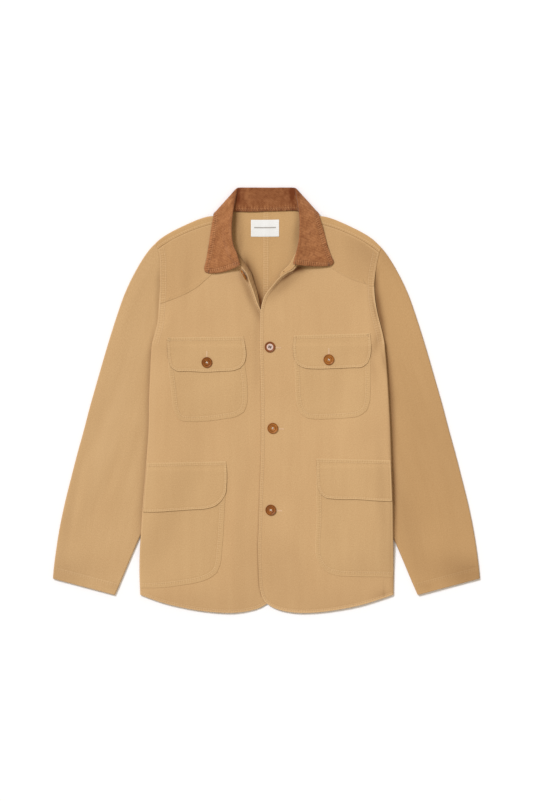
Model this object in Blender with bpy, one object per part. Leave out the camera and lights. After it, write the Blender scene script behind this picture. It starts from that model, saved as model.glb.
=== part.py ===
"""Field jacket lying flat on its back, front up, with the collar open.

Cloth walls only: two fronts, two backs, two sleeve tubes, a turned collar, yokes, patch pockets
with flaps, front facings, a neck label and six four-hole buttons.
Lengths in the tables are millimetres; +X is the wearer's left, +Y is towards the collar, +Z is up.
"""

import bpy
import numpy as np
from mathutils.bvhtree import BVHTree

MM = 0.001
# Shift up the jacket that centres its box on the origin.
FRAME_SHIFT = 0.81
CLOTH = 1.2
COLLAR_WALL = 2.0
LABEL_WALL = 0.7
SEAM_GAP = 0.3
LAY_GAP = 0.45
BODY_DEPTH = 4.6
SLEEVE_LIFT = 4.9
SLEEVE_SLOPE = 72.0
COLLAR_LIFT = 2.4
COLLAR_SLOPE = 46.0
UNDERLAP_DROP = 1.5
UNDERLAP_START = -64.0
UNDERLAP_END = -16.0
OVERLAP_RISE = 0.25
NECK_REACH = 52.0
STAND_REACH = 9.0
STAND_SHARE = 0.9
ROLL_RADIUS = 1.55
BUTTON_RADIUS = 10.2
BUTTON_HEIGHT = 3.0
BUTTON_HOLE_RADIUS = 1.0
BUTTON_HOLE_SPACING = 1.6
BUTTON_SEGMENTS = 18
HOLE_SEGMENTS = 6
BUTTON_REST = 0.45
SLEEVE_CLEAR = 0.6
FACING_START = 1.0
FACING_DROP = 0.3
WRAP_END = 84.0
WRAP_TURNS = (-50.0, -15.0, 20.0, 55.0, 90.0)
FOLD_STATIONS = (0.0, 0.13, 0.5, 1.0)
EDGE_STATIONS = (22.0, 9.0, 4.5, 0.0)
BODY_COLUMNS = 9
BODY_ROWS = 14
ARMHOLE_ROWS = 13
SLEEVE_COLUMNS = 7
SETTLE_STEPS = 4
SETTLE_ROUNDS = 5
GROUND = {}

COLOURS = {
    "canvas": (0.64, 0.42, 0.205, 1.0),
    "canvas_inside": (0.58, 0.355, 0.16, 1.0),
    "collar": (0.40, 0.17, 0.075, 1.0),
    "button": (0.22, 0.075, 0.02, 1.0),
    "label": (0.90, 0.89, 0.86, 1.0),
}

# Side seam of the body, hem to armpit: height up the jacket, then reach to each side.
# Columns: y, right, left.
SIDE = (
    (-370.9, 240.1, 242.0),
    (-332.0, 241.4, 242.4),
    (-287.0, 240.8, 242.2),
    (-257.0, 238.9, 241.8),
    (-204.0, 235.5, 241.3),
    (-150.0, 231.0, 239.4),
    (-103.0, 227.3, 237.8),
    (-57.0, 224.1, 236.2),
    (0.0, 223.2, 233.2),
    (51.0, 221.1, 230.0),
    (85.0, 219.4, 227.2),
    (108.0, 217.1, 224.5),
)

# Armhole seam, armpit to shoulder.
# Columns: y, right, left.
ARMHOLE = (
    (108.0, 217.1, 224.5),
    (125.0, 212.3, 221.3),
    (143.0, 207.8, 217.0),
    (165.0, 205.5, 211.5),
    (190.0, 203.8, 207.2),
    (212.0, 202.6, 205.5),
    (235.0, 202.6, 206.7),
    (258.0, 203.0, 210.2),
    (271.0, 203.4, 213.0),
)
# Where the shoulder seam and the shoulder ridge meet the armhole.
SEAM_END = {-1: (-206.6, 287.0), 1: (215.2, 280.4)}
RIDGE_END = {-1: (-211.0, 298.3), 1: (218.4, 290.7)}

# Shoulder: the ridge where the back folds over, and the seam it reaches on the front.
# Columns: x, ridge, seam.
SHOULDER = (
    (201.5, 306.5, 291.8),
    (182.5, 318.6, 303.4),
    (163.5, 328.3, 313.2),
    (144.5, 337.1, 321.6),
    (125.5, 344.8, 328.6),
    (112.0, 348.6, 332.6),
    (101.4, 350.0, 335.4),
    (84.0, 352.6, 339.0),
    (75.0, 354.0, 340.5),
)

# Hem of each front, side seam to front edge, rounded at the front corner.
# Columns: x, y.
HEM_RIGHT = (
    (-240.1, -370.9),
    (-201.5, -384.9),
    (-163.5, -394.6),
    (-125.5, -401.5),
    (-87.5, -405.1),
    (-68.5, -405.6),
    (-49.5, -404.4),
    (-30.5, -401.5),
    (-14.3, -396.7),
    (-1.6, -389.9),
    (13.2, -376.2),
    (23.7, -355.3),
    (26.5, -332.5),
)
HEM_LEFT = (
    (242.0, -370.9),
    (216.5, -379.8),
    (178.5, -391.2),
    (140.5, -399.0),
    (102.5, -404.2),
    (83.5, -405.5),
    (64.5, -405.6),
    (45.5, -404.1),
    (26.5, -400.3),
    (7.5, -392.2),
    (-2.9, -384.0),
    (-8.6, -372.6),
    (-12.4, -356.4),
    (-14.3, -333.4),
)
HEM_BACK = (
    (-240.1, -370.9),
    (-201.5, -382.0),
    (-150.0, -390.0),
    (-75.0, -388.0),
    (0.0, -384.0),
)

# Free edge of each front above the rounded corner, up the opening, then round the neck seam.
# The last column is the height of the cloth's upper side there.
# Columns: x, y, top.
EDGE_RIGHT = (
    (26.5, -332.5, 0.0),
    (26.5, -200.0, 0.0),
    (26.5, -50.0, 0.0),
    (26.5, 70.0, 0.0),
    (24.0, 112.0, 0.0),
    (13.0, 140.0, 0.0),
    (0.0, 156.0, 0.0),
    (-8.5, 168.0, 3.6),
    (-15.7, 183.0, 6.5),
    (-22.5, 202.7, 11.0),
    (-29.5, 221.2, 15.4),
    (-36.4, 239.6, 17.8),
    (-44.5, 251.0, 16.4),
    (-54.0, 261.0, 14.2),
    (-64.0, 274.0, 13.8),
    (-71.0, 289.0, 13.0),
    (-75.0, 306.0, 11.8),
    (-76.5, 323.0, 10.0),
    (-76.0, 341.0, 7.6),
)
EDGE_LEFT = (
    (-14.3, -333.4, 0.0),
    (-15.5, -287.3, 0.0),
    (-13.8, -229.7, 0.0),
    (-12.1, -172.1, 0.0),
    (-9.8, -114.6, 0.0),
    (-9.0, -55.3, 0.0),
    (-9.4, 4.6, 0.0),
    (-10.5, 50.7, 0.0),
    (-11.7, 108.3, 0.0),
    (-11.3, 142.9, 0.0),
    (-10.9, 168.9, 5.4),
    (-9.0, 180.0, 6.6),
    (-3.1, 198.0, 8.6),
    (10.4, 216.2, 11.4),
    (26.7, 234.5, 13.6),
    (38.0, 242.3, 14.4),
    (50.0, 248.0, 14.4),
    (57.0, 257.5, 14.2),
    (64.0, 272.0, 13.8),
    (69.5, 289.0, 13.0),
    (73.0, 306.0, 11.8),
    (74.5, 323.0, 10.0),
    (74.0, 341.0, 7.6),
)

# Neck seam of the back panel, shoulder end to centre.
# Columns: x, y.
NECK_BACK = ((75.0, 354.0), (68.0, 358.5), (58.0, 362.0), (40.0, 363.6), (0.0, 364.0))

# Sleeve outline from the shoulder down to the cuff, and the underarm edge tucked below the body.
SLEEVE_OUTER = (
    (-211.0, 298.3),
    (-223.2, 285.0),
    (-238.9, 262.2),
    (-251.8, 239.4),
    (-263.1, 216.6),
    (-272.7, 193.8),
    (-280.7, 171.0),
    (-295.5, 125.4),
    (-309.2, 79.8),
    (-322.3, 34.2),
    (-335.3, -11.4),
    (-347.2, -57.0),
    (-359.8, -102.6),
    (-371.5, -148.2),
    (-382.9, -193.8),
    (-392.6, -239.4),
    (-400.0, -285.0),
    (-405.2, -327.0),
    (-406.3, -340.1),
)
SLEEVE_INNER = (
    (-217.1, 108.0),
    (-222.4, 98.0),
    (-224.4, 87.0),
    (-222.4, 74.0),
    (-211.0, 52.0),
    (-194.0, 18.0),
    (-181.0, -20.0),
    (-175.0, -60.0),
    (-177.0, -98.0),
    (-185.0, -134.0),
    (-199.0, -175.0),
    (-216.0, -212.0),
    (-240.4, -260.0),
    (-251.3, -285.0),
    (-261.0, -307.8),
    (-270.5, -330.6),
    (-280.2, -353.4),
    (-288.1, -371.4),
)
SLEEVE_INNER_LEFT = ((224.5, 108.0), (229.6, 98.0), (231.8, 87.0), (230.2, 74.0), (217.0, 52.0))

# Rings of the sleeve tube: share of the way down each edge, depth, how much of the armhole's
# height the ring keeps, and how much of its curve.
# Columns: outer, inner, depth, keeps, curves.
RINGS = (
    (0.000, 0.000, 4.6, 1.00, 1.00),
    (0.022, 0.006, 4.6, 0.60, 0.95),
    (0.048, 0.011, 4.5, 0.22, 0.86),
    (0.080, 0.016, 4.4, 0.00, 0.74),
    (0.118, 0.021, 4.3, 0.00, 0.58),
    (0.162, 0.027, 4.2, 0.00, 0.42),
    (0.212, 0.034, 4.1, 0.00, 0.27),
    (0.268, 0.044, 4.0, 0.00, 0.14),
    (0.330, 0.060, 4.0, 0.00, 0.05),
    (0.392, 0.095, 4.0, 0.00, 0.00),
    (0.455, 0.160, 4.0, 0.00, 0.00),
    (0.520, 0.250, 4.0, 0.00, 0.00),
    (0.588, 0.355, 4.0, 0.00, 0.00),
    (0.660, 0.470, 4.1, 0.00, 0.00),
    (0.735, 0.590, 4.2, 0.00, 0.00),
    (0.815, 0.715, 4.4, 0.00, 0.00),
    (0.905, 0.855, 4.5, 0.00, 0.00),
    (1.000, 1.000, 4.6, 0.00, 0.00),
)

# Collar sections from the front end to the centre back. Neck seam, roll and free edge of each,
# the height of the roll, the height of a part that hangs free, and the turn of the roll: 90 where
# the leaf lies on top, -90 where it lies underneath.
# Columns: nx, ny, nz, rx, ry, rz, ex, ey, ez, turn, bow.
COLLAR_RIGHT = (
    (-55.5, 258.5, 0.0, -50.6, 255.0, 19.6, -110.8, 241.0, 0.0, 90.0, 4.5),
    (-58.0, 262.5, 0.0, -51.4, 260.0, 19.6, -116.2, 243.4, 0.0, 90.0, 2.5),
    (-61.0, 266.5, 0.0, -53.2, 266.0, 19.6, -118.2, 249.0, 0.0, 90.0, 0.0),
    (-66.5, 275.0, 0.0, -57.0, 279.0, 19.5, -115.2, 263.0, 0.0, 90.0, 0.0),
    (-71.5, 286.0, 0.0, -62.6, 291.0, 19.2, -111.6, 283.0, 0.0, 90.0, 0.0),
    (-75.0, 299.0, 0.0, -65.4, 304.0, 18.4, -108.6, 302.0, 0.0, 89.0, 0.0),
    (-77.0, 312.0, 0.0, -66.6, 318.0, 17.4, -106.2, 318.0, 0.0, 88.0, 0.0),
    (-78.0, 325.0, 0.0, -66.2, 333.0, 16.2, -104.2, 331.0, 0.0, 86.0, 0.0),
    (-76.5, 337.0, 0.0, -64.8, 349.0, 14.8, -102.4, 341.0, 0.0, 80.0, 0.0),
    (-73.0, 346.5, 8.8, -62.4, 365.0, 12.8, -101.4, 347.5, 8.6, 68.0, 0.0),
    (-69.0, 352.5, 7.4, -59.6, 381.0, 10.2, -100.9, 351.0, 7.4, 46.0, 0.0),
    (-66.0, 355.5, 6.3, -57.2, 394.0, 7.6, -100.6, 352.8, 5.8, 22.0, 0.0),
    (-64.0, 357.0, 5.7, -55.8, 400.6, 5.7, -100.2, 353.2, 4.0, 0.0, 0.0),
    (-62.5, 357.8, 5.4, -53.6, 402.4, 4.1, -98.6, 352.4, 2.3, -40.0, 0.0),
    (-59.0, 358.0, 5.1, -50.0, 403.0, 3.0, -93.0, 350.4, 1.1, -75.0, 0.0),
    (-50.0, 358.0, 5.0, -42.0, 403.1, 2.6, -79.0, 343.6, 1.0, -90.0, 0.0),
    (-34.0, 357.6, 5.0, -28.0, 403.1, 2.6, -53.0, 336.6, 1.0, -90.0, 0.0),
    (-17.0, 357.8, 5.0, -14.0, 403.1, 2.6, -26.0, 333.8, 1.0, -90.0, 0.0),
    (0.0, 358.4, 5.0, 0.0, 403.1, 2.6, 0.0, 333.0, 1.0, -90.0, 0.0),
)
COLLAR_LEFT = (
    (55.5, 259.5, 0.0, 51.6, 257.2, 19.6, 119.4, 254.6, 0.0, 90.0, 2.0),
    (57.5, 263.0, 0.0, 52.2, 261.5, 19.6, 126.2, 257.6, 0.0, 90.0, 1.0),
    (60.0, 268.0, 0.0, 53.4, 267.0, 19.6, 128.2, 261.8, 0.0, 90.0, 0.0),
    (65.0, 277.5, 0.0, 57.2, 280.0, 19.5, 124.0, 272.6, 0.0, 90.0, 0.0),
    (69.5, 288.0, 0.0, 60.4, 292.0, 19.2, 118.7, 287.1, 0.0, 90.0, 0.0),
    (73.0, 300.0, 0.0, 62.4, 305.0, 18.4, 113.9, 303.4, 0.0, 89.0, 0.0),
    (75.0, 313.0, 0.0, 63.4, 319.0, 17.4, 110.2, 318.4, 0.0, 88.0, 0.0),
    (76.0, 326.0, 0.0, 63.8, 334.0, 16.2, 106.8, 331.0, 0.0, 86.0, 0.0),
    (75.5, 337.5, 0.0, 63.4, 350.0, 14.8, 103.4, 341.0, 0.0, 80.0, 0.0),
    (72.5, 346.5, 8.8, 61.6, 366.0, 12.8, 101.6, 347.5, 8.6, 68.0, 0.0),
    (69.0, 352.5, 7.4, 59.4, 381.0, 10.2, 100.9, 351.0, 7.4, 46.0, 0.0),
    (66.0, 355.5, 6.3, 57.2, 394.0, 7.6, 100.6, 352.8, 5.8, 22.0, 0.0),
    (64.0, 357.0, 5.7, 55.8, 400.6, 5.7, 100.2, 353.2, 4.0, 0.0, 0.0),
    (62.5, 358.6, 5.4, 53.6, 402.4, 4.1, 98.6, 352.4, 2.3, -40.0, 0.0),
    (59.0, 359.6, 5.1, 50.0, 403.0, 3.0, 93.5, 349.6, 1.1, -75.0, 0.0),
    (50.0, 360.0, 5.0, 42.0, 403.1, 2.6, 79.0, 343.6, 1.0, -90.0, 0.0),
    (34.0, 359.6, 5.0, 28.0, 403.1, 2.6, 53.0, 336.6, 1.0, -90.0, 0.0),
    (17.0, 359.0, 5.0, 14.0, 403.1, 2.6, 26.0, 333.8, 1.0, -90.0, 0.0),
)
# Edge of the collar below the back: reach from the centre, and how far down the back it lies.
# Columns: x, y.
COLLAR_UNDER = ((0.0, 332.0), (50.0, 335.0), (79.0, 342.0), (93.0, 348.0), (101.0, 352.0),
                (120.0, 374.0), (150.0, 430.0), (260.0, 600.0))

# Lower line of each front yoke, armhole to collar.
# Columns: x, y.
YOKE_RIGHT = ((-202.4, 182.4), (-174.5, 192.5), (-151.5, 202.7), (-128.5, 216.6), (-116.9, 226.9),
              (-104.2, 238.4), (-92.0, 252.0))
YOKE_LEFT = ((204.6, 215.4), (181.7, 222.9), (163.3, 229.1), (140.1, 240.7), (123.0, 252.1),
             (108.0, 264.0), (96.0, 276.0))
YOKE_NECK_RIGHT = ((-92.0, 252.0), (-90.0, 290.0), (-90.0, 338.0))
YOKE_NECK_LEFT = ((96.0, 276.0), (92.0, 305.0), (90.0, 338.0))

# Patches sewn on the fronts: three sides of each, from one top corner round to the other.
# The inner side runs down from the top inner corner, the outer side down from the top outer one.
# Columns: x, y.
CHEST_POCKET_RIGHT = {
    "inner": ((-41.0, 104.0), (-39.8, 57.8), (-37.5, 43.9), (-35.6, 16.3), (-36.4, -6.6), (-42.1, -22.8)),
    "bottom": ((-42.1, -22.8), (-54.8, -30.8), (-82.4, -36.7), (-116.9, -40.9), (-144.5, -41.6),
               (-162.9, -38.9), (-171.1, -31.9)),
    "outer": ((-186.0, 103.0), (-185.9, 54.3), (-182.5, 27.9), (-179.5, 0.2), (-176.8, -18.2),
              (-171.1, -31.9)),
    "top": ((-41.0, 104.0), (-186.0, 103.0)),
}
CHEST_POCKET_LEFT = {
    "inner": ((54.5, 106.0), (53.9, 57.6), (55.0, 27.5), (56.1, 4.6), (59.6, -13.9), (66.6, -27.5)),
    "bottom": ((66.6, -27.5), (78.0, -34.6), (94.1, -36.9), (121.9, -36.5), (151.7, -34.6),
               (177.0, -30.6), (190.9, -20.7)),
    "outer": ((197.6, 110.0), (198.4, 50.7), (198.2, 16.1), (196.6, -4.6), (190.9, -20.7)),
    "top": ((54.5, 106.0), (197.6, 110.0)),
}
CHEST_FLAP_RIGHT = {
    "inner": ((-43.2, 120.8), (-39.8, 101.5), (-38.5, 83.0), (-42.1, 69.2), (-50.1, 60.0)),
    "bottom": ((-50.1, 60.0), (-61.7, 55.9), (-82.4, 54.3), (-116.9, 52.6), (-151.3, 54.3),
               (-172.0, 55.3), (-182.5, 63.5)),
    "outer": ((-189.3, 119.1), (-188.2, 96.9), (-186.5, 78.5), (-182.5, 63.5)),
    "top": ((-43.2, 120.8), (-189.3, 119.1)),
}
CHEST_FLAP_LEFT = {
    "inner": ((52.7, 123.1), (50.8, 96.7), (53.9, 77.1), (59.6, 66.9)),
    "bottom": ((59.6, 66.9), (71.2, 61.0), (94.1, 58.7), (128.7, 59.5), (163.3, 61.0), (183.0, 62.6),
               (193.1, 70.3)),
    "outer": ((197.9, 127.1), (199.4, 101.3), (197.9, 82.8), (193.1, 70.3)),
    "top": ((52.7, 123.1), (197.9, 127.1)),
}
LOWER_POCKET_RIGHT = {
    "inner": ((-77.0, -131.5), (-78.4, -188.3), (-80.1, -218.1), (-81.6, -252.7), (-84.6, -287.3),
              (-86.9, -310.3), (-93.8, -328.7)),
    "bottom": ((-93.8, -328.7), (-105.4, -338.0), (-124.9, -346.0), (-154.9, -351.9), (-182.5, -355.9),
               (-212.5, -358.1), (-238.9, -358.3)),
    "outer": ((-227.6, -132.5), (-234.0, -204.0), (-237.4, -257.0), (-239.3, -287.0), (-239.9, -332.0),
              (-238.9, -358.3)),
    "top": ((-77.0, -131.5), (-227.6, -132.5)),
}
LOWER_POCKET_LEFT = {
    "inner": ((95.6, -126.0), (95.1, -188.3), (95.7, -218.1), (93.8, -252.7), (92.6, -275.7),
              (95.1, -301.1), (103.1, -317.1)),
    "bottom": ((103.1, -317.1), (116.9, -328.7), (135.4, -334.4), (165.2, -336.3), (199.8, -336.7),
               (240.9, -337.4)),
    "outer": ((236.9, -129.0), (239.8, -204.0), (240.3, -257.0), (240.7, -287.0), (240.9, -337.4)),
    "top": ((95.6, -126.0), (236.9, -129.0)),
}
LOWER_FLAP_RIGHT = {
    "inner": ((-76.5, -116.5), (-75.0, -137.6), (-75.3, -158.3), (-77.6, -179.0), (-85.8, -192.8)),
    "bottom": ((-85.8, -192.8), (-97.4, -202.2), (-111.1, -206.7), (-143.4, -209.4), (-177.9, -211.8),
               (-207.8, -213.6), (-234.4, -213.6)),
    "outer": ((-226.9, -119.7), (-231.0, -167.0), (-234.4, -213.6)),
    "top": ((-76.5, -116.5), (-226.9, -119.7)),
}
LOWER_FLAP_LEFT = {
    "inner": ((95.1, -111.1), (96.2, -126.2), (96.6, -149.2), (98.5, -167.6), (104.2, -180.1)),
    "bottom": ((104.2, -180.1), (114.5, -187.1), (126.1, -188.7), (176.8, -190.0), (211.4, -192.5),
               (239.5, -193.2)),
    "outer": ((236.5, -114.6), (238.4, -155.0), (239.5, -193.2)),
    "top": ((95.1, -111.1), (236.5, -114.6)),
}

# Facing strips that show inside the opening: how far each reaches in from the free edge.
# Columns: edge x, edge y, inner x, inner y, drop.
FACING_RIGHT = (
    (-18.0, 190.0, -14.4, 191.5, 1.4),
    (-22.5, 202.7, -17.2, 205.0, 3.6),
    (-29.5, 221.2, -23.0, 224.0, 6.2),
    (-36.4, 239.6, -30.0, 244.0, 7.0),
    (-43.0, 249.4, -38.0, 256.5, 7.0),
    (-47.0, 253.8, -44.0, 264.0, 7.0),
)
FACING_LEFT = (
    (26.7, 234.5, 25.0, 236.6, 2.0),
    (34.0, 240.0, 29.5, 243.6, 4.0),
    (41.0, 243.9, 36.8, 250.8, 6.0),
    (47.0, 246.6, 43.5, 257.4, 6.6),
)

LABEL_CORNERS = (-29.2, 24.4, 310.8, 343.1)

# Columns: name, x, y, side, lies on.
BUTTONS = (
    ("button_front_top", 6.9, 100.5, 1, "front_left"),
    ("button_front_middle", 12.3, -54.1, 1, "front_left"),
    ("button_front_bottom", 8.6, -209.8, 1, "front_left"),
    ("button_chest_right", -113.1, 71.1, -1, "chest_flap_right"),
    ("button_chest_left", 119.0, 76.4, 1, "chest_flap_left"),
)
# The neck button stands almost on edge against the raised opening.
NECK_BUTTON = {"x": -40.8, "y": 237.6, "z": 15.7, "lean": 72.0, "turn": 209.0}
# Columns: radius share, height share.
BUTTON_PROFILE = (
    (0.82, 0.00),
    (1.00, 0.35),
    (0.97, 0.85),
    (0.84, 1.00),
    (0.62, 0.62),
)


def ease(share):
    """Zero below 0, one above 1, smooth between."""
    t = np.clip(share, 0.0, 1.0)
    return t * t * (3.0 - 2.0 * t)


def curve(points, shares):
    """Points at the given shares of the length of a smooth line through the given points."""
    knots = np.array(points, float)
    span = np.linalg.norm(np.diff(knots, axis=0), axis=1)
    at = np.concatenate([[0.0], np.cumsum(span)])
    slope = np.repeat(np.diff(knots, axis=0) / span[0], 2, axis=0)
    if len(knots) > 2:
        slope = np.gradient(knots, at, axis=0)
    fine = np.linspace(0.0, at[-1], 12 * len(knots))
    i = np.clip(np.searchsorted(at, fine, side="right") - 1, 0, len(span) - 1)
    h = span[i]
    t = ((fine - at[i]) / h)[:, None]
    h = h[:, None]
    line = (
        (2 * t**3 - 3 * t**2 + 1) * knots[i]
        + (t**3 - 2 * t**2 + t) * h * slope[i]
        + (3 * t**2 - 2 * t**3) * knots[i + 1]
        + (t**3 - t**2) * h * slope[i + 1]
    )
    length = np.concatenate([[0.0], np.cumsum(np.linalg.norm(np.diff(line, axis=0), axis=1))])
    wanted = np.asarray(shares) * length[-1]
    return np.stack([np.interp(wanted, length, line[:, k]) for k in range(line.shape[1])], axis=-1)


def coons(bottom, top, left, right, u, v):
    """Points inside four boundary lines, at shares u across (one row of them per v) and v up."""
    v = np.broadcast_to(np.asarray(v, float)[:, None], u.shape)
    lines = {"b": curve(bottom, u), "t": curve(top, u), "l": curve(left, v), "r": curve(right, v)}
    corner = {
        "lb": np.array(bottom[0][:2]), "rb": np.array(bottom[-1][:2]),
        "lt": np.array(top[0][:2]), "rt": np.array(top[-1][:2]),
    }
    u3, v3 = u[..., None], v[..., None]
    sides = (1 - u3) * lines["l"] + u3 * lines["r"] + (1 - v3) * lines["b"] + v3 * lines["t"]
    return sides - (
        (1 - u3) * (1 - v3) * corner["lb"] + u3 * (1 - v3) * corner["rb"]
        + (1 - u3) * v3 * corner["lt"] + u3 * v3 * corner["rt"]
    )


def tucked_reach(y):
    """How far from the centre the tucked edge of the sleeve lies at each height."""
    line = curve(SLEEVE_INNER, np.linspace(0, 1, 80))[::-1]
    return np.interp(y, line[:, 1], -line[:, 0], left=260.0, right=218.0)


def base(x, y):
    """Height of the underside of the body: over the tucked sleeves and over the collar."""
    x, y = np.abs(np.asarray(x, float)), np.asarray(y, float)
    over = ease((x - tucked_reach(y) + SLEEVE_SLOPE) / SLEEVE_SLOPE)
    down = ease((195.0 - y) / 98.0) * ease((y + 350.0) / 90.0)
    under = np.array(COLLAR_UNDER)
    neck = ease((y - np.interp(x, under[:, 0], under[:, 1]) + COLLAR_SLOPE) / COLLAR_SLOPE)
    return SLEEVE_LIFT * over * down + COLLAR_LIFT * neck


def opening_rise(x, y, side):
    """Extra height of a front near its raised free edge and neck seam."""
    rows = np.array([r for r in (EDGE_RIGHT if side < 0 else EDGE_LEFT) if r[2] > 0])
    line = curve(rows, np.linspace(0, 1, 70))
    flat = base(line[:, 0], line[:, 1]) + BODY_DEPTH
    x, y = np.asarray(x, float), np.asarray(y, float)
    away = np.hypot(x[..., None] - line[:, 0], y[..., None] - line[:, 1])
    near = away.argmin(-1)
    away = away.min(-1)
    gain = np.maximum(line[near, 2] - flat[near], 0.0)
    stand = 1.0 - ease(away / STAND_REACH)
    swell = (1.0 - np.clip(away / NECK_REACH, 0, 1)) ** 2
    share = STAND_SHARE if side < 0 else STAND_SHARE / 2
    return gain * (share * stand + (1.0 - share) * swell)


def front_top(x, y, side):
    """Height of the upper side of a front; the right front runs lower where the left covers it."""
    x, y = np.asarray(x, float), np.asarray(y, float)
    depth = BODY_DEPTH + (OVERLAP_RISE if side > 0 else 0.0)
    if side < 0:
        depth = depth - UNDERLAP_DROP * ease((x - UNDERLAP_START) / (UNDERLAP_END - UNDERLAP_START))
    return base(x, y) + depth + opening_rise(x, y, side)


def side_reach(y, side):
    """Distance from the centre to the side seam at each height."""
    rows = np.array(SIDE)
    return np.interp(y, rows[:, 0], rows[:, 1 if side < 0 else 2])


def grid_faces(rows, columns, first=0, wrap=False):
    """Quads of a grid of points numbered row by row."""
    faces = []
    for i in range(rows - 1):
        for j in range(columns if wrap else columns - 1):
            k = (j + 1) % columns
            a, b = first + i * columns, first + (i + 1) * columns
            faces.append((a + j, a + k, b + k, b + j))
    return faces


def triangles(points, faces):
    """Each face cut into triangles, a quad across its shorter diagonal."""
    out = []
    for f in faces:
        across = [np.linalg.norm(points[f[k]] - points[f[k - 2]]) for k in (2, 3 % len(f))]
        if len(f) == 4 and across[1] < across[0]:
            f = (f[1], f[2], f[3], f[0])
        out += [(f[0], f[i], f[i + 1]) for i in range(1, len(f) - 1)]
    return out


def point_normals(points, faces):
    """Unit normal at each point, the mean of the faces around it."""
    total = np.zeros_like(points)
    for f in triangles(points, faces):
        n = np.cross(points[f[1]] - points[f[0]], points[f[2]] - points[f[0]])
        total[list(f)] += n / max(np.linalg.norm(n), 1e-9)
    return total / np.maximum(np.linalg.norm(total, axis=1), 1e-9)[:, None]


def wall(outer, inner, faces):
    """Joins two skins into one closed wall; the faces turn anticlockwise seen from the outer skin."""
    count = len(outer)
    edges = {(a, b) for f in faces for a, b in zip(f, f[1:] + f[:1])}
    rim = [(b, a, a + count, b + count) for a, b in sorted(edges) if (b, a) not in edges]
    back = [tuple(i + count for i in reversed(f)) for f in faces]
    points = np.concatenate([outer, inner])
    return points, triangles(points, list(faces) + back + rim)


def add_object(name, points, faces, colour, roughness):
    """A closed mesh with its own material, its points given in millimetres."""
    mesh = bpy.data.meshes.new(name)
    mesh.from_pydata((np.asarray(points) * MM).tolist(), [], [list(map(int, f)) for f in faces])
    obj = bpy.data.objects.new(name, mesh)
    bpy.context.scene.collection.objects.link(obj)
    material = bpy.data.materials.new(name)
    material.use_nodes = True
    shader = material.node_tree.nodes["Principled BSDF"]
    shader.inputs["Base Color"].default_value = COLOURS[colour]
    shader.inputs["Roughness"].default_value = roughness
    shader.inputs["Metallic"].default_value = 0.0
    mesh.materials.append(material)
    GROUND[name] = BVHTree.FromPolygons(points.tolist(), [list(map(int, f)) for f in faces])
    return obj


def height_of(names, x, y):
    """Height of the highest of the named pieces at a point, or None where there is none."""
    found = None
    for name in names:
        hit = GROUND[name].ray_cast((x, y, 100.0), (0.0, 0.0, -1.0))[0]
        if hit is not None and (found is None or hit.z > found):
            found = hit.z
    return found


def settled(points, faces, names, gap):
    """The points of a piece's underside raised until it clears the named pieces by the gap."""
    points = points.copy()
    share = [(a / SETTLE_STEPS, b / SETTLE_STEPS, 1 - (a + b) / SETTLE_STEPS)
             for a in range(SETTLE_STEPS + 1) for b in range(SETTLE_STEPS + 1 - a)]
    for _ in range(SETTLE_ROUNDS):
        raise_by = np.zeros(len(points))
        for f in triangles(points, faces):
            for weights in share:
                p = sum(w * points[i] for w, i in zip(weights, f))
                under = height_of(names, p[0], p[1])
                if under is not None and under + gap > p[2]:
                    for i in f:
                        raise_by[i] = max(raise_by[i], under + gap - p[2])
        points[:, 2] += raise_by
        if raise_by.max() == 0:
            break
    return points


def fold_share(share):
    """Rise of a rounded edge, from its middle to its top, against the share of its radius passed."""
    d = np.clip(share, 0.0, 1.0)
    return np.sqrt(1.0 - (1.0 - d) ** 2)


def body_shares(width, near_edge):
    """Shares across each row of a body panel: close at the folded side and at the raised edge."""
    rows = []
    for w in width:
        first = np.array(FOLD_STATIONS) * BODY_DEPTH / 2 / w
        last = 1 - np.array(near_edge) / w
        middle = np.linspace(first[-1], last[0], BODY_COLUMNS)[1:-1]
        rows.append(np.concatenate([first, middle, last]))
    return np.array(rows)


def side_line(side, seam):
    """Side seam then armhole of one half, hem to shoulder, ending at the given point."""
    k = 1 if side < 0 else 2
    return [(side * r[k], r[0]) for r in SIDE] + [(side * r[k], r[0]) for r in ARMHOLE[1:]] + [seam]


def body_skin(lines, near_edge, height, upward, inset):
    """One skin of a body panel: its points, folded to the middle of the side below the armpit."""
    v = np.concatenate([np.linspace(0, 0.62, BODY_ROWS), np.linspace(0.62, 1, ARMHOLE_ROWS)[1:]])
    start, end = curve(lines["side"], v), curve(lines["edge"], v)
    width = np.linalg.norm(end - start, axis=1)
    u = body_shares(width, near_edge)
    folded = start[:, 1] < SIDE[-1][0] - 1.0
    stations = np.array(FOLD_STATIONS)
    radius = BODY_DEPTH / 2
    for i in np.flatnonzero(folded):
        u[i, : len(stations)] = (inset + stations * (radius - inset)) / width[i]
    plan = coons(lines["hem"], lines["top"], lines["side"], lines["edge"], u, v)
    x, y = plan[..., 0], plan[..., 1]
    z = height(x, y)
    points = np.dstack([x, y, z])
    faces = grid_faces(*x.shape)
    if inset > 0:
        slope = np.abs(point_normals(points.reshape(-1, 3), faces)[:, 2]).reshape(x.shape)
        points[..., 2] += (-upward * inset) / np.maximum(slope, 0.5)
    rise = fold_share(stations)
    for i in np.flatnonzero(folded):
        near = slice(0, len(stations))
        middle = base(x[i, near], y[i, near]) + radius + upward * SEAM_GAP / 2
        points[i, near, 2] = middle + (points[i, near, 2] - middle) * rise
    return points, faces


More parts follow.
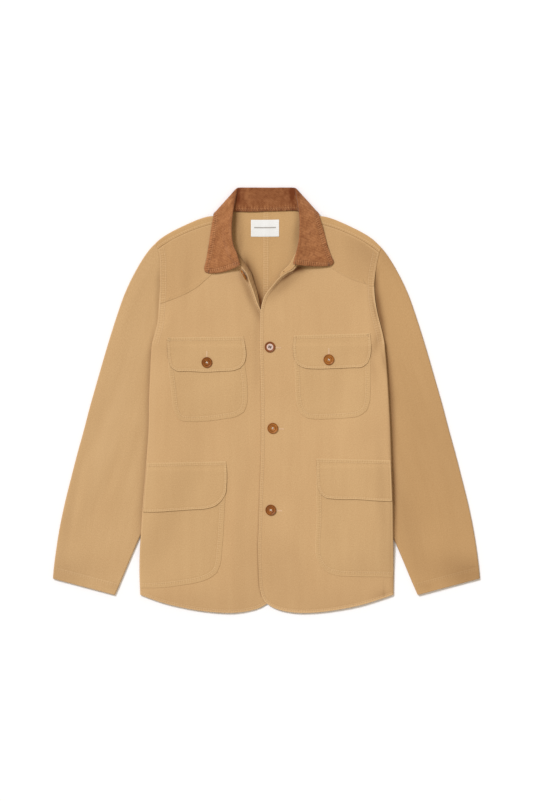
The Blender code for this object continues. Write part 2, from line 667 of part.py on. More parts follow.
def front_panel(name, side):
    """One front: folded down at the side seam, raised at the opening and the neck."""
    edge = [r[:2] for r in (EDGE_RIGHT if side < 0 else EDGE_LEFT)]
    end = (SEAM_END[side][0], SEAM_END[side][1] - SEAM_GAP * 2)
    seam = [(side * r[0], r[2] - SEAM_GAP * 2) for r in SHOULDER[1:-1]]
    lines = {
        "hem": HEM_RIGHT if side < 0 else HEM_LEFT,
        "side": side_line(side, end),
        "top": [end] + seam + [edge[-1]],
        "edge": edge,
    }
    skins = [body_skin(lines, EDGE_STATIONS, lambda x, y: front_top(x, y, side), 1, inset)
             for inset in (0.0, CLOTH)]
    faces = skins[0][1]
    if side > 0:
        faces = [tuple(reversed(f)) for f in faces]
    outer, inner = (points.reshape(-1, 3) for points, _ in skins)
    return add_object(name, *wall(outer, inner, faces), "canvas", 0.85)


def back_panel(name, side):
    """One back: folded up at the side seam and over the shoulder ridge to the front."""
    centre = side * SEAM_GAP / 2
    hem = [((HEM_RIGHT if side < 0 else HEM_LEFT)[0])] + [(side * abs(p[0]), p[1]) for p in HEM_BACK[1:-1]]
    hem.append((centre, HEM_BACK[-1][1]))
    neck = [(side * p[0], p[1]) for p in NECK_BACK[1:-1]] + [(centre, NECK_BACK[-1][1])]
    lines = {
        "hem": hem,
        "side": side_line(side, SEAM_END[side]) + [RIDGE_END[side]],
        "top": [RIDGE_END[side]] + [(side * r[0], r[1]) for r in SHOULDER] + neck,
        "edge": [hem[-1], (centre, 0.0), neck[-1]],
    }
    skins = []
    for inset in (0.0, CLOTH):
        points, faces = body_skin(lines, (0.0,), base, -1, inset)
        rows, columns = points.shape[:2]
        ridge = points[-1, :, :2].copy()
        wrapped = int(np.sum(np.abs(ridge[:, 0]) > WRAP_END))
        points[-1, :wrapped, 1] -= BODY_DEPTH / 2
        ridge = ridge[:wrapped]
        radius = BODY_DEPTH / 2 - inset
        middle = base(ridge[:, 0], ridge[:, 1]) + BODY_DEPTH / 2
        strip = []
        for turn in WRAP_TURNS:
            a = np.radians(turn)
            strip.append(np.column_stack([
                ridge[:, 0], ridge[:, 1] - BODY_DEPTH / 2 + radius * np.cos(a), middle + radius * np.sin(a),
            ]))
        table = np.array([(abs(SEAM_END[side][0]), 0.0, SEAM_END[side][1])] + list(SHOULDER))[::-1]
        reach = abs(SEAM_END[side][0]) - 120.0
        shift = (abs(RIDGE_END[side][0]) - abs(SEAM_END[side][0])) * np.clip(
            (np.abs(ridge[:, 0]) - 120.0) / reach, 0, 1) ** 3
        seam_x = ridge[:, 0] - side * shift
        seam_y = np.interp(np.abs(seam_x), table[:, 0], table[:, 2])
        start = strip[-1][:, :2]
        for share in (0.5, 1.0):
            plan = start * (1 - share) + np.column_stack([seam_x, seam_y]) * share
            strip.append(np.column_stack([plan, front_top(plan[:, 0], plan[:, 1], side) - inset]))
        strip[len(WRAP_TURNS) - 1][:, 2] = front_top(start[:, 0], start[:, 1], side) - inset
        skins.append(np.concatenate([points.reshape(-1, 3), *strip]))
    first, last = rows * columns, (rows - 1) * columns
    faces += [(last + j, last + j + 1, first + j + 1, first + j) for j in range(wrapped - 1)]
    faces += grid_faces(len(strip), wrapped, first)
    if side < 0:
        faces = [tuple(reversed(f)) for f in faces]
    return add_object(name, *wall(*skins, faces), "canvas_inside", 0.85)


def sleeve(name, side):
    """One sleeve: a flattened tube from the armhole to the cuff."""
    k = 1 if side < 0 else 2
    clear = side * SLEEVE_CLEAR
    outer = [(side * abs(p[0]), p[1]) for p in SLEEVE_OUTER]
    inner = [(side * abs(p[0]), p[1]) for p in SLEEVE_INNER]
    if side > 0:
        inner[: len(SLEEVE_INNER_LEFT)] = SLEEVE_INNER_LEFT
    seam = [RIDGE_END[side], SEAM_END[side]] + [(side * r[k], r[0]) for r in ARMHOLE[::-1]]
    seam = [(p[0] + clear * (3 if p[1] > SHOULDER[1][2] - 25.0 else 1), p[1]) for p in seam]
    outer[0], inner[0] = seam[0], seam[-1]
    table = np.array(RINGS)
    outs, ins = curve(outer, table[:, 0]), curve(inner, table[:, 1])
    stations = np.array(FOLD_STATIONS)
    flat = np.linspace(0, 1, SLEEVE_COLUMNS)[1:-1]
    skins = []
    for inset in (0.0, CLOTH):
        rings = []
        for out, tuck, (_, _, depth, keeps, curves) in zip(outs, ins, RINGS):
            width = np.linalg.norm(tuck - out)
            radius = depth / 2 - inset
            near = (inset + stations * radius) / width
            shares = np.concatenate([near, near[-1] + (1 - 2 * near[-1]) * flat, 1 - near[::-1]])
            straight = out + shares[:, None] * (tuck - out)
            first = outs[0] + shares[:, None] * (ins[0] - outs[0])
            plan = straight + curves * (curve(seam, shares) - first)
            rise = np.concatenate([stations, np.ones(len(flat)), stations[::-1]])
            rise = radius * fold_share(rise)
            middle = keeps * base(plan[:, 0], plan[:, 1]) + depth / 2
            upper = np.column_stack([plan, middle + rise])
            lower = np.column_stack([plan, middle - rise])
            rings.append(np.concatenate([upper, lower[-2:0:-1]]))
        skins.append(np.concatenate(rings))
    faces = grid_faces(len(rings), len(rings[0]), wrap=True)
    if side < 0:
        faces = [tuple(reversed(f)) for f in faces]
    return add_object(name, *wall(*skins, faces), "canvas", 0.85)


def collar_section(row):
    """Points of the middle of the collar's wall across one section, neck seam to free edge."""
    nx, ny, nz, rx, ry, rz, ex, ey, ez, turn, bow = row
    half = COLLAR_WALL / 2
    side = 1 if nx > 0 else -1
    leaf_ground = lambda x, y: float(front_top(x, y, side)) + SEAM_GAP + CLOTH + LAY_GAP + half
    neck = np.array([nx, ny, nz or float(front_top(nx, ny, side)) + SEAM_GAP + half])
    edge = np.array([ex, ey, ez or leaf_ground(ex, ey)])
    roll = np.array([rx, ry, rz])
    lead = roll[:2] - (neck[:2] + edge[:2]) / 2
    if turn > 60:
        lead = roll[:2] - edge[:2]
    if turn < -60:
        lead = np.array([0.0, 1.0])
    lead = lead / np.linalg.norm(lead)
    tip = np.array([lead[0], lead[1], 0.0])
    across = np.array([-lead[1], lead[0], 0.0])
    if across[0] * ex < 0:
        across = -across
    a = np.radians(turn)
    rise = np.array([0.0, 0.0, 1.0]) * np.sin(a) + across * np.cos(a)
    centre = roll - ROLL_RADIUS * tip
    loop = [centre + ROLL_RADIUS * (tip * np.cos(t) + rise * np.sin(t)) for t in np.radians((-90, -45, 0, 45, 90))]
    stand = [neck + (loop[0] - neck) * s for s in (0.0, 0.5)]
    fall = []
    for s in (0.15, 0.36, 0.58, 0.80, 1.0):
        p = loop[-1] + (edge - loop[-1]) * s
        p[1] -= bow * 4 * s * (1 - s)
        if turn > 60:
            p[2] = max(p[2] + 1.2 * np.sin(np.pi * s), leaf_ground(p[0], p[1]))
        fall.append(p)
    return stand + loop + fall


def collar():
    """The collar in one piece: stand and fall joined by the roll, front end to front end."""
    points = np.array([collar_section(r) for r in COLLAR_RIGHT + COLLAR_LEFT[::-1]])
    faces = grid_faces(points.shape[0], points.shape[1])
    points = points.reshape(-1, 3)
    out = point_normals(points, faces) * COLLAR_WALL / 2
    return add_object("collar", *wall(points + out, points - out, faces), "collar", 0.95)


def laid_piece(name, x, y, side, grounds, thick, colour):
    """A cloth piece lying on a front and on whatever already lies there, from its plan."""
    radius = BODY_DEPTH / 2
    away = np.maximum(side_reach(y, side) - np.abs(x), 0.0) / radius
    z = front_top(x, y, side)
    middle = base(x, y) + radius
    z = np.where(away < 1.0, middle + fold_share(away) * (z - middle), z) + SEAM_GAP
    points = np.dstack([x, y, z]).reshape(-1, 3)
    faces = grid_faces(*x.shape)
    corner = points[x.shape[1] + 1] - points[0]
    if np.cross(points[1] - points[0], corner)[2] < 0:
        faces = [tuple(reversed(f)) for f in faces]
    under = settled(points, faces, grounds, SEAM_GAP)
    over = under + np.array([0.0, 0.0, thick])
    return add_object(name, *wall(over, under, faces), colour, 0.85)


def patch(name, lines, side, grounds, columns, rows):
    """A piece sewn on a front, its plan from four lines."""
    u = np.tile(np.linspace(0, 1, columns), (rows, 1))
    v = np.linspace(0, 1, rows)
    plan = coons(lines["bottom"], lines["top"], lines["inner"][::-1], lines["outer"][::-1], u, v)
    return laid_piece(name, plan[..., 0], plan[..., 1], side, grounds, CLOTH, "canvas")


def yoke(name, side):
    """A front yoke: from the shoulder seam and armhole down to its curved lower line."""
    line = YOKE_RIGHT if side < 0 else YOKE_LEFT
    neck = YOKE_NECK_RIGHT if side < 0 else YOKE_NECK_LEFT
    k = 1 if side < 0 else 2
    end = (SEAM_END[side][0] - side * 1.2, SEAM_END[side][1] - 2.0)
    arm = [line[0]] + [(side * (r[k] - 0.8), r[0]) for r in ARMHOLE if r[0] > line[0][1] + 8.0] + [end]
    seam = [end] + [(side * r[0], r[2] - 1.6) for r in SHOULDER[1:] if r[0] > 96.0] + [neck[-1]]
    lines = {"bottom": line, "top": seam, "inner": arm[::-1], "outer": neck[::-1]}
    return patch(name, lines, side, [f"front_{'right' if side < 0 else 'left'}"], 9, 9)


def facing(name, side):
    """The strip of a front's inner side that shows below its raised free edge."""
    table = np.array(FACING_RIGHT if side < 0 else FACING_LEFT)
    shares = np.linspace(0, 1, 8)
    edge, inner = curve(table[:, 0:2], shares), curve(table[:, 2:4], shares)
    drop = np.interp(shares, np.linspace(0, 1, len(table)), table[:, 4])
    top = front_top(edge[:, 0], edge[:, 1], side) - CLOTH - FACING_DROP
    reach = inner - edge
    start = edge + reach * (FACING_START / np.linalg.norm(reach, axis=1))[:, None]
    rows = []
    for share in (0.0, 0.5, 1.0):
        plan = start + (inner - start) * share
        rows.append(np.column_stack([plan, top - drop * share]))
    points = np.concatenate(rows)
    faces = grid_faces(len(rows), len(shares))
    if np.cross(points[1] - points[0], points[len(shares)] - points[0])[2] < 0:
        faces = [tuple(reversed(f)) for f in faces]
    inner_side = points - point_normals(points, faces) * CLOTH
    return add_object(name, *wall(points, inner_side, faces), "canvas_inside", 0.85)


def neck_label():
    """The bare woven label lying inside the back below the neck seam."""
    x0, x1, y0, y1 = LABEL_CORNERS
    x, y = np.meshgrid(np.linspace(x0, x1, 5), np.linspace(y0, y1, 5))
    points = np.dstack([x, y, base(x, y) + CLOTH + SEAM_GAP]).reshape(-1, 3)
    faces = grid_faces(5, 5)
    under = settled(points, faces, ["back_right", "back_left"], SEAM_GAP)
    over = under + np.array([0.0, 0.0, LABEL_WALL])
    return add_object("neck_label", *wall(over, under, faces), "label", 0.7)


def ring(x, y, z, radius, count):
    """Points of a level circle."""
    a = np.linspace(0, 2 * np.pi, count, endpoint=False)
    return np.column_stack([x + radius * np.cos(a), y + radius * np.sin(a), np.full_like(a, z)])


def button(name, centre, lean=0.0, turn=0.0):
    """A dished four-hole button; lean tips it from lying flat, turn sets the way it leans."""
    n = BUTTON_SEGMENTS
    points = np.concatenate([ring(0, 0, h * BUTTON_HEIGHT, r * BUTTON_RADIUS, n) for r, h in BUTTON_PROFILE])
    faces = grid_faces(len(BUTTON_PROFILE), n, wrap=True)
    faces += [tuple(reversed(range(n))), tuple(range(len(points) - n, len(points)))]
    obj = add_object(name, points, faces, "button", 0.35)
    obj.location = [c * MM for c in centre]
    obj.rotation_euler = (0.0, np.radians(lean), np.radians(turn))
    n, cut, cut_faces = HOLE_SEGMENTS, [], []
    for sx, sy in ((1, 1), (-1, 1), (-1, -1), (1, -1)):
        first = len(cut) * n
        for z in (-1.0, BUTTON_HEIGHT + 1.0):
            cut.append(ring(sx * BUTTON_HOLE_SPACING, sy * BUTTON_HOLE_SPACING, z, BUTTON_HOLE_RADIUS, n))
        cut_faces += grid_faces(2, n, first, wrap=True)
        cut_faces += [tuple(reversed(range(first, first + n))), tuple(range(first + n, first + 2 * n))]
    cutter = add_object(name + "_holes", np.concatenate(cut), cut_faces, "button", 0.35)
    cutter.location = obj.location
    cutter.rotation_euler = obj.rotation_euler
    cutter.hide_render = True
    modifier = obj.modifiers.new("holes", "BOOLEAN")
    modifier.operation = "DIFFERENCE"
    modifier.solver = "EXACT"
    modifier.object = cutter
    return obj


def main():
    for old in list(bpy.data.objects):
        bpy.data.objects.remove(old)
    for side, word in ((-1, "right"), (1, "left")):
        sleeve(f"sleeve_{word}", side)
        back_panel(f"back_{word}", side)
        front_panel(f"front_{word}", side)
        yoke(f"yoke_{word}", side)
        facing(f"facing_{word}", side)
    for word, side, pocket, flap, lower_pocket, lower_flap in (
        ("right", -1, CHEST_POCKET_RIGHT, CHEST_FLAP_RIGHT, LOWER_POCKET_RIGHT, LOWER_FLAP_RIGHT),
        ("left", 1, CHEST_POCKET_LEFT, CHEST_FLAP_LEFT, LOWER_POCKET_LEFT, LOWER_FLAP_LEFT),
    ):
        front = f"front_{word}"
        patch(f"chest_pocket_{word}", pocket, side, [front], 9, 9)
        patch(f"chest_flap_{word}", flap, side, [front, f"chest_pocket_{word}"], 10, 8)
        patch(f"lower_pocket_{word}", lower_pocket, side, [front], 10, 12)
        patch(f"lower_flap_{word}", lower_flap, side, [front, f"lower_pocket_{word}"], 10, 9)
    collar()
    neck_label()
    for name, x, y, side, under in BUTTONS:
        button(name, (x, y, height_of([under], x, y) + BUTTON_REST))
    neck = NECK_BUTTON
    button("button_neck", (neck["x"], neck["y"], neck["z"]), neck["lean"], neck["turn"])
    for obj in bpy.data.objects:
        obj.location.y += FRAME_SHIFT * MM


main()
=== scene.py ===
"""A field jacket laid flat: cloth, seams, collar and buttons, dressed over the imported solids.

Lengths in the tables are millimetres. +X is the wearer's left, +Y towards the collar, +Z up.
"""

import logging
import math
from collections.abc import Callable
from dataclasses import dataclass, field
from enum import Enum

import bpy
import numpy as np
from bpy.types import Material, Node, NodeSocket, NodeTree, Object
from mathutils import Euler, Matrix, Vector
from mathutils.bvhtree import BVHTree
from numpy.linalg import norm


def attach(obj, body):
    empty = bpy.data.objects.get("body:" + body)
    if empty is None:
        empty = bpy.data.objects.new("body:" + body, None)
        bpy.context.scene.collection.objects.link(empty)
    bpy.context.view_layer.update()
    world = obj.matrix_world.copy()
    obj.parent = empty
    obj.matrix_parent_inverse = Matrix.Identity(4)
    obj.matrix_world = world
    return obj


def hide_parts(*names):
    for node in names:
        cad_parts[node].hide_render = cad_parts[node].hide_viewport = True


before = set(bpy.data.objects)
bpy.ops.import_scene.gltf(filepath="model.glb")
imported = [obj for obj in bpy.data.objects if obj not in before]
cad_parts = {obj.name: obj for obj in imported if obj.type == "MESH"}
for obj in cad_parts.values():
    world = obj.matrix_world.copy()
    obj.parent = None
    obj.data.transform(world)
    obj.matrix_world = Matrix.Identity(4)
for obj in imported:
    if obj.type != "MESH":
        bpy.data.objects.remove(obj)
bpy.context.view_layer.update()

LOG = logging.getLogger("jacket")

Array = np.ndarray
Table = tuple[tuple[float, ...], ...]

MM = 0.001
FRAME_SHIFT = 0.81
CLOTH = 1.2
COLLAR_WALL = 2.0
SEAM_GAP = 0.3
BODY_DEPTH = 4.6
SLEEVE_LIFT = 4.9
SLEEVE_SLOPE = 72.0
COLLAR_LIFT = 2.4
COLLAR_SLOPE = 46.0
UNDERLAP_DROP = 1.5
UNDERLAP = (-64.0, -16.0)
OVERLAP_RISE = 0.25
NECK_REACH = 52.0
GRID = 2.55
FAR = 1e3

# How far from its rows a seam marks the cloth, over what length that fades, and the mark of plain cloth.
MARK_REACH, MARK_FADE, UNMARKED = 8.0, 5.0, 30.0
# How far to each side of a seam its distances are worked out.
SEAM_REACH = 24.0
# Spacing of the puckers along a seam, along the collar's edge, and of the beads along its neck seam.
PUCKER_WAVE, COLLAR_WAVE, BEAD_WAVE = 9.3, 7.6, 5.8
# Least share of the rectangle it is cut from that a sheet's area is stated as.
LEAST_AREA = 0.31

# Side seam of the body, hem to armpit: height up the jacket, then reach to each side.
# Columns: y, right, left.
SIDE = (
    (-370.9, 240.1, 242), (-332, 241.4, 242.4), (-287, 240.8, 242.2), (-257, 238.9, 241.8),
    (-204, 235.5, 241.3), (-150, 231, 239.4), (-103, 227.3, 237.8), (-57, 224.1, 236.2), (0, 223.2, 233.2),
    (51, 221.1, 230), (85, 219.4, 227.2), (108, 217.1, 224.5),
)

# Armhole seam, armpit to shoulder.
# Columns: y, right, left.
ARMHOLE = (
    (108, 217.1, 224.5), (125, 212.3, 221.3), (143, 207.8, 217), (165, 205.5, 211.5), (190, 203.8, 207.2),
    (212, 202.6, 205.5), (235, 202.6, 206.7), (258, 203, 210.2), (271, 203.4, 213),
)
# Where the shoulder seam and the shoulder ridge meet the armhole.
SEAM_END = {-1: (-206.6, 287.0), 1: (215.2, 280.4)}
RIDGE_END = {-1: (-211.0, 298.3), 1: (218.4, 290.7)}

# Shoulder: the ridge where the back folds over, and the seam it reaches on the front.
# Columns: x, ridge, seam.
SHOULDER = (
    (201.5, 306.5, 291.8), (182.5, 318.6, 303.4), (163.5, 328.3, 313.2), (144.5, 337.1, 321.6),
    (125.5, 344.8, 328.6), (112, 348.6, 332.6), (101.4, 350, 335.4), (84, 352.6, 339), (75, 354, 340.5),
)

# Hem of each front, side seam to front edge, rounded at the front corner.
# Columns: x, y.
HEM_RIGHT = (
    (-240.1, -370.9), (-201.5, -384.9), (-163.5, -394.6), (-125.5, -401.5), (-87.5, -405.1),
    (-68.5, -405.6), (-49.5, -404.4), (-30.5, -401.5), (-14.3, -396.7), (-1.6, -389.9), (13.2, -376.2),
    (23.7, -355.3), (26.5, -332.5),
)
HEM_LEFT = (
    (242, -370.9), (216.5, -379.8), (178.5, -391.2), (140.5, -399), (102.5, -404.2), (83.5, -405.5),
    (64.5, -405.6), (45.5, -404.1), (26.5, -400.3), (7.5, -392.2), (-2.9, -384), (-8.6, -372.6),
    (-12.4, -356.4), (-14.3, -333.4),
)
HEM_BACK = ((-240.1, -370.9), (-201.5, -382), (-150, -390), (-75, -388), (0, -384))

# Free edge of each front above the rounded corner, up the opening, then round the neck seam.
# The last column is the height of the cloth's upper side there.
# Columns: x, y, top.
EDGE_RIGHT = (
    (26.5, -332.5, 0), (26.5, -200, 0), (26.5, -50, 0), (26.5, 70, 0), (24, 112, 0), (13, 140, 0),
    (0, 156, 0), (-8.5, 168, 3.6), (-15.7, 183, 6.5), (-22.5, 202.7, 11), (-29.5, 221.2, 15.4),
    (-36.4, 239.6, 17.8), (-44.5, 251, 16.4), (-54, 261, 14.2), (-64, 274, 13.8), (-71, 289, 13),
    (-75, 306, 11.8), (-76.5, 323, 10), (-76, 341, 7.6),
)
EDGE_LEFT = (
    (-14.3, -333.4, 0), (-15.5, -287.3, 0), (-13.8, -229.7, 0), (-12.1, -172.1, 0), (-9.8, -114.6, 0),
    (-9, -55.3, 0), (-9.4, 4.6, 0), (-10.5, 50.7, 0), (-11.7, 108.3, 0), (-11.3, 142.9, 0),
    (-10.9, 168.9, 5.4), (-9, 180, 6.6), (-3.1, 198, 8.6), (10.4, 216.2, 11.4), (26.7, 234.5, 13.6),
    (38, 242.3, 14.4), (50, 248, 14.4), (57, 257.5, 14.2), (64, 272, 13.8), (69.5, 289, 13),
    (73, 306, 11.8), (74.5, 323, 10), (74, 341, 7.6),
)

# Neck seam of the back panel, shoulder end to centre.
# Columns: x, y.
NECK_BACK = ((75, 354), (68, 358.5), (58, 362), (40, 363.6), (0, 364))

# Sleeve outline from the shoulder down to the cuff, and the underarm edge tucked below the body.
SLEEVE_OUTER = (
    (-211, 298.3), (-223.2, 285), (-238.9, 262.2), (-251.8, 239.4), (-263.1, 216.6), (-272.7, 193.8),
    (-280.7, 171), (-295.5, 125.4), (-309.2, 79.8), (-322.3, 34.2), (-335.3, -11.4), (-347.2, -57),
    (-359.8, -102.6), (-371.5, -148.2), (-382.9, -193.8), (-392.6, -239.4), (-400, -285), (-405.2, -327),
    (-406.3, -340.1),
)
SLEEVE_INNER = (
    (-217.1, 108), (-222.4, 98), (-224.4, 87), (-222.4, 74), (-211, 52), (-194, 18), (-181, -20),
    (-175, -60), (-177, -98), (-185, -134), (-199, -175), (-216, -212), (-240.4, -260), (-251.3, -285),
    (-261, -307.8), (-270.5, -330.6), (-280.2, -353.4), (-288.1, -371.4),
)
SLEEVE_INNER_LEFT = ((224.5, 108), (229.6, 98), (231.8, 87), (230.2, 74), (217, 52))

# Rings of the sleeve tube: share of the way down each edge, depth, how much of the armhole's
# height the ring keeps, and how much of its curve.
# Columns: outer, inner, depth, keeps, curves.
RINGS = (
    (0, 0, 4.6, 1, 1), (0.022, 0.006, 4.6, 0.6, 0.95), (0.048, 0.011, 4.5, 0.22, 0.86),
    (0.08, 0.016, 4.4, 0, 0.74), (0.118, 0.021, 4.3, 0, 0.58), (0.162, 0.027, 4.2, 0, 0.42),
    (0.212, 0.034, 4.1, 0, 0.27), (0.268, 0.044, 4, 0, 0.14), (0.33, 0.06, 4, 0, 0.05),
    (0.392, 0.095, 4, 0, 0), (0.455, 0.16, 4, 0, 0), (0.52, 0.25, 4, 0, 0), (0.588, 0.355, 4, 0, 0),
    (0.66, 0.47, 4.1, 0, 0), (0.735, 0.59, 4.2, 0, 0), (0.815, 0.715, 4.4, 0, 0), (0.905, 0.855, 4.5, 0, 0),
    (1, 1, 4.6, 0, 0),
)

# Collar sections from the front end to the centre back. Neck seam, roll and free edge of each,
# the height of the roll, the height of a part that hangs free, and the turn of the roll: 90 where
# the leaf lies on top, -90 where it lies underneath.
# Columns: nx, ny, nz, rx, ry, rz, ex, ey, ez, turn, bow.
COLLAR_RIGHT = (
    (-55.5, 258.5, 0, -50.6, 255, 19.6, -110.8, 241, 0, 90, 4.5),
    (-58, 262.5, 0, -51.4, 260, 19.6, -116.2, 243.4, 0, 90, 2.5),
    (-61, 266.5, 0, -53.2, 266, 19.6, -118.2, 249, 0, 90, 0),
    (-66.5, 275, 0, -57, 279, 19.5, -115.2, 263, 0, 90, 0),
    (-71.5, 286, 0, -62.6, 291, 19.2, -111.6, 283, 0, 90, 0),
    (-75, 299, 0, -65.4, 304, 18.4, -108.6, 302, 0, 89, 0),
    (-77, 312, 0, -66.6, 318, 17.4, -106.2, 318, 0, 88, 0),
    (-78, 325, 0, -66.2, 333, 16.2, -104.2, 331, 0, 86, 0),
    (-76.5, 337, 0, -64.8, 349, 14.8, -102.4, 341, 0, 80, 0),
    (-73, 346.5, 8.8, -62.4, 365, 12.8, -101.4, 347.5, 8.6, 68, 0),
    (-69, 352.5, 7.4, -59.6, 381, 10.2, -100.9, 351, 7.4, 46, 0),
    (-66, 355.5, 6.3, -57.2, 394, 7.6, -100.6, 352.8, 5.8, 22, 0),
    (-64, 357, 5.7, -55.8, 400.6, 5.7, -100.2, 353.2, 4, 0, 0),
    (-62.5, 357.8, 5.4, -53.6, 402.4, 4.1, -98.6, 352.4, 2.3, -40, 0),
    (-59, 358, 5.1, -50, 403, 3, -93, 350.4, 1.1, -75, 0),
    (-50, 358, 5, -42, 403.1, 2.6, -79, 343.6, 1, -90, 0),
    (-34, 357.6, 5, -28, 403.1, 2.6, -53, 336.6, 1, -90, 0),
    (-17, 357.8, 5, -14, 403.1, 2.6, -26, 333.8, 1, -90, 0),
    (0, 358.4, 5, 0, 403.1, 2.6, 0, 333, 1, -90, 0),
)
COLLAR_LEFT = (
    (55.5, 259.5, 0, 51.6, 257.2, 19.6, 119.4, 254.6, 0, 90, 2),
    (57.5, 263, 0, 52.2, 261.5, 19.6, 126.2, 257.6, 0, 90, 1),
    (60, 268, 0, 53.4, 267, 19.6, 128.2, 261.8, 0, 90, 0),
    (65, 277.5, 0, 57.2, 280, 19.5, 124, 272.6, 0, 90, 0),
    (69.5, 288, 0, 60.4, 292, 19.2, 118.7, 287.1, 0, 90, 0),
    (73, 300, 0, 62.4, 305, 18.4, 113.9, 303.4, 0, 89, 0),
    (75, 313, 0, 63.4, 319, 17.4, 110.2, 318.4, 0, 88, 0),
    (76, 326, 0, 63.8, 334, 16.2, 106.8, 331, 0, 86, 0),
    (75.5, 337.5, 0, 63.4, 350, 14.8, 103.4, 341, 0, 80, 0),
    (72.5, 346.5, 8.8, 61.6, 366, 12.8, 101.6, 347.5, 8.6, 68, 0),
    (69, 352.5, 7.4, 59.4, 381, 10.2, 100.9, 351, 7.4, 46, 0),
    (66, 355.5, 6.3, 57.2, 394, 7.6, 100.6, 352.8, 5.8, 22, 0),
    (64, 357, 5.7, 55.8, 400.6, 5.7, 100.2, 353.2, 4, 0, 0),
    (62.5, 358.6, 5.4, 53.6, 402.4, 4.1, 98.6, 352.4, 2.3, -40, 0),
    (59, 359.6, 5.1, 50, 403, 3, 93.5, 349.6, 1.1, -75, 0),
    (50, 360, 5, 42, 403.1, 2.6, 79, 343.6, 1, -90, 0),
    (34, 359.6, 5, 28, 403.1, 2.6, 53, 336.6, 1, -90, 0),
    (17, 359, 5, 14, 403.1, 2.6, 26, 333.8, 1, -90, 0),
)
# Edge of the collar below the back: reach from the centre, and how far down the back it lies.
# Columns: x, y.
COLLAR_UNDER = ((0, 332), (50, 335), (79, 342), (93, 348), (101, 352), (120, 374), (150, 430), (260, 600))

# Lower line of each front yoke, armhole to collar.
# Columns: x, y.
YOKE_RIGHT = (
    (-202.4, 182.4), (-174.5, 192.5), (-151.5, 202.7), (-128.5, 216.6), (-116.9, 226.9), (-104.2, 238.4),
    (-92, 252),
)
YOKE_LEFT = (
    (204.6, 215.4), (181.7, 222.9), (163.3, 229.1), (140.1, 240.7), (123, 252.1), (108, 264), (96, 276),
)
YOKE_NECK_RIGHT = ((-92, 252), (-90, 290), (-90, 338))
YOKE_NECK_LEFT = ((96, 276), (92, 305), (90, 338))


def patch_lines(inner: Table, bottom: Table, outer: Table) -> dict[str, Table]:
    """The four lines round a patch.

    Args:
        inner: the inner side, down from its top corner to the bottom line.
        bottom: the bottom line from there, with its far end.
        outer: the outer side, down from its top corner, without its lower end.

    Returns:
        The lines by name, with the corners that they share.
    """
    return {
        "inner": inner, "bottom": (inner[-1], *bottom),
        "outer": (*outer, bottom[-1]), "top": (inner[0], outer[0]),
    }


# Patches sewn on the fronts.
# Columns: x, y.
CHEST_POCKET_RIGHT = patch_lines(
    ((-41, 104), (-39.8, 57.8), (-37.5, 43.9), (-35.6, 16.3), (-36.4, -6.6), (-42.1, -22.8)),
    ((-54.8, -30.8), (-82.4, -36.7), (-116.9, -40.9), (-144.5, -41.6), (-162.9, -38.9), (-171.1, -31.9)),
    ((-186, 103), (-185.9, 54.3), (-182.5, 27.9), (-179.5, 0.2), (-176.8, -18.2)),
)
CHEST_POCKET_LEFT = patch_lines(
    ((54.5, 106), (53.9, 57.6), (55, 27.5), (56.1, 4.6), (59.6, -13.9), (66.6, -27.5)),
    ((78, -34.6), (94.1, -36.9), (121.9, -36.5), (151.7, -34.6), (177, -30.6), (190.9, -20.7)),
    ((197.6, 110), (198.4, 50.7), (198.2, 16.1), (196.6, -4.6)),
)
CHEST_FLAP_RIGHT = patch_lines(
    ((-43.2, 120.8), (-39.8, 101.5), (-38.5, 83), (-42.1, 69.2), (-50.1, 60)),
    ((-61.7, 55.9), (-82.4, 54.3), (-116.9, 52.6), (-151.3, 54.3), (-172, 55.3), (-182.5, 63.5)),
    ((-189.3, 119.1), (-188.2, 96.9), (-186.5, 78.5)),
)
CHEST_FLAP_LEFT = patch_lines(
    ((52.7, 123.1), (50.8, 96.7), (53.9, 77.1), (59.6, 66.9)),
    ((71.2, 61), (94.1, 58.7), (128.7, 59.5), (163.3, 61), (183, 62.6), (193.1, 70.3)),
    ((197.9, 127.1), (199.4, 101.3), (197.9, 82.8)),
)
LOWER_POCKET_RIGHT = patch_lines(
    (
        (-77, -131.5), (-78.4, -188.3), (-80.1, -218.1), (-81.6, -252.7), (-84.6, -287.3), (-86.9, -310.3),
        (-93.8, -328.7),
    ),
    ((-105.4, -338), (-124.9, -346), (-154.9, -351.9), (-182.5, -355.9), (-212.5, -358.1), (-238.9, -358.3)),
    ((-227.6, -132.5), (-234, -204), (-237.4, -257), (-239.3, -287), (-239.9, -332)),
)
LOWER_POCKET_LEFT = patch_lines(
    (
        (95.6, -126), (95.1, -188.3), (95.7, -218.1), (93.8, -252.7), (92.6, -275.7), (95.1, -301.1),
        (103.1, -317.1),
    ),
    ((116.9, -328.7), (135.4, -334.4), (165.2, -336.3), (199.8, -336.7), (240.9, -337.4)),
    ((236.9, -129), (239.8, -204), (240.3, -257), (240.7, -287)),
)
LOWER_FLAP_RIGHT = patch_lines(
    ((-76.5, -116.5), (-75, -137.6), (-75.3, -158.3), (-77.6, -179), (-85.8, -192.8)),
    (
        (-97.4, -202.2), (-111.1, -206.7), (-143.4, -209.4), (-177.9, -211.8), (-207.8, -213.6),
        (-234.4, -213.6),
    ),
    ((-226.9, -119.7), (-231, -167)),
)
LOWER_FLAP_LEFT = patch_lines(
    ((95.1, -111.1), (96.2, -126.2), (96.6, -149.2), (98.5, -167.6), (104.2, -180.1)),
    ((114.5, -187.1), (126.1, -188.7), (176.8, -190), (211.4, -192.5), (239.5, -193.2)),
    ((236.5, -114.6), (238.4, -155)),
)

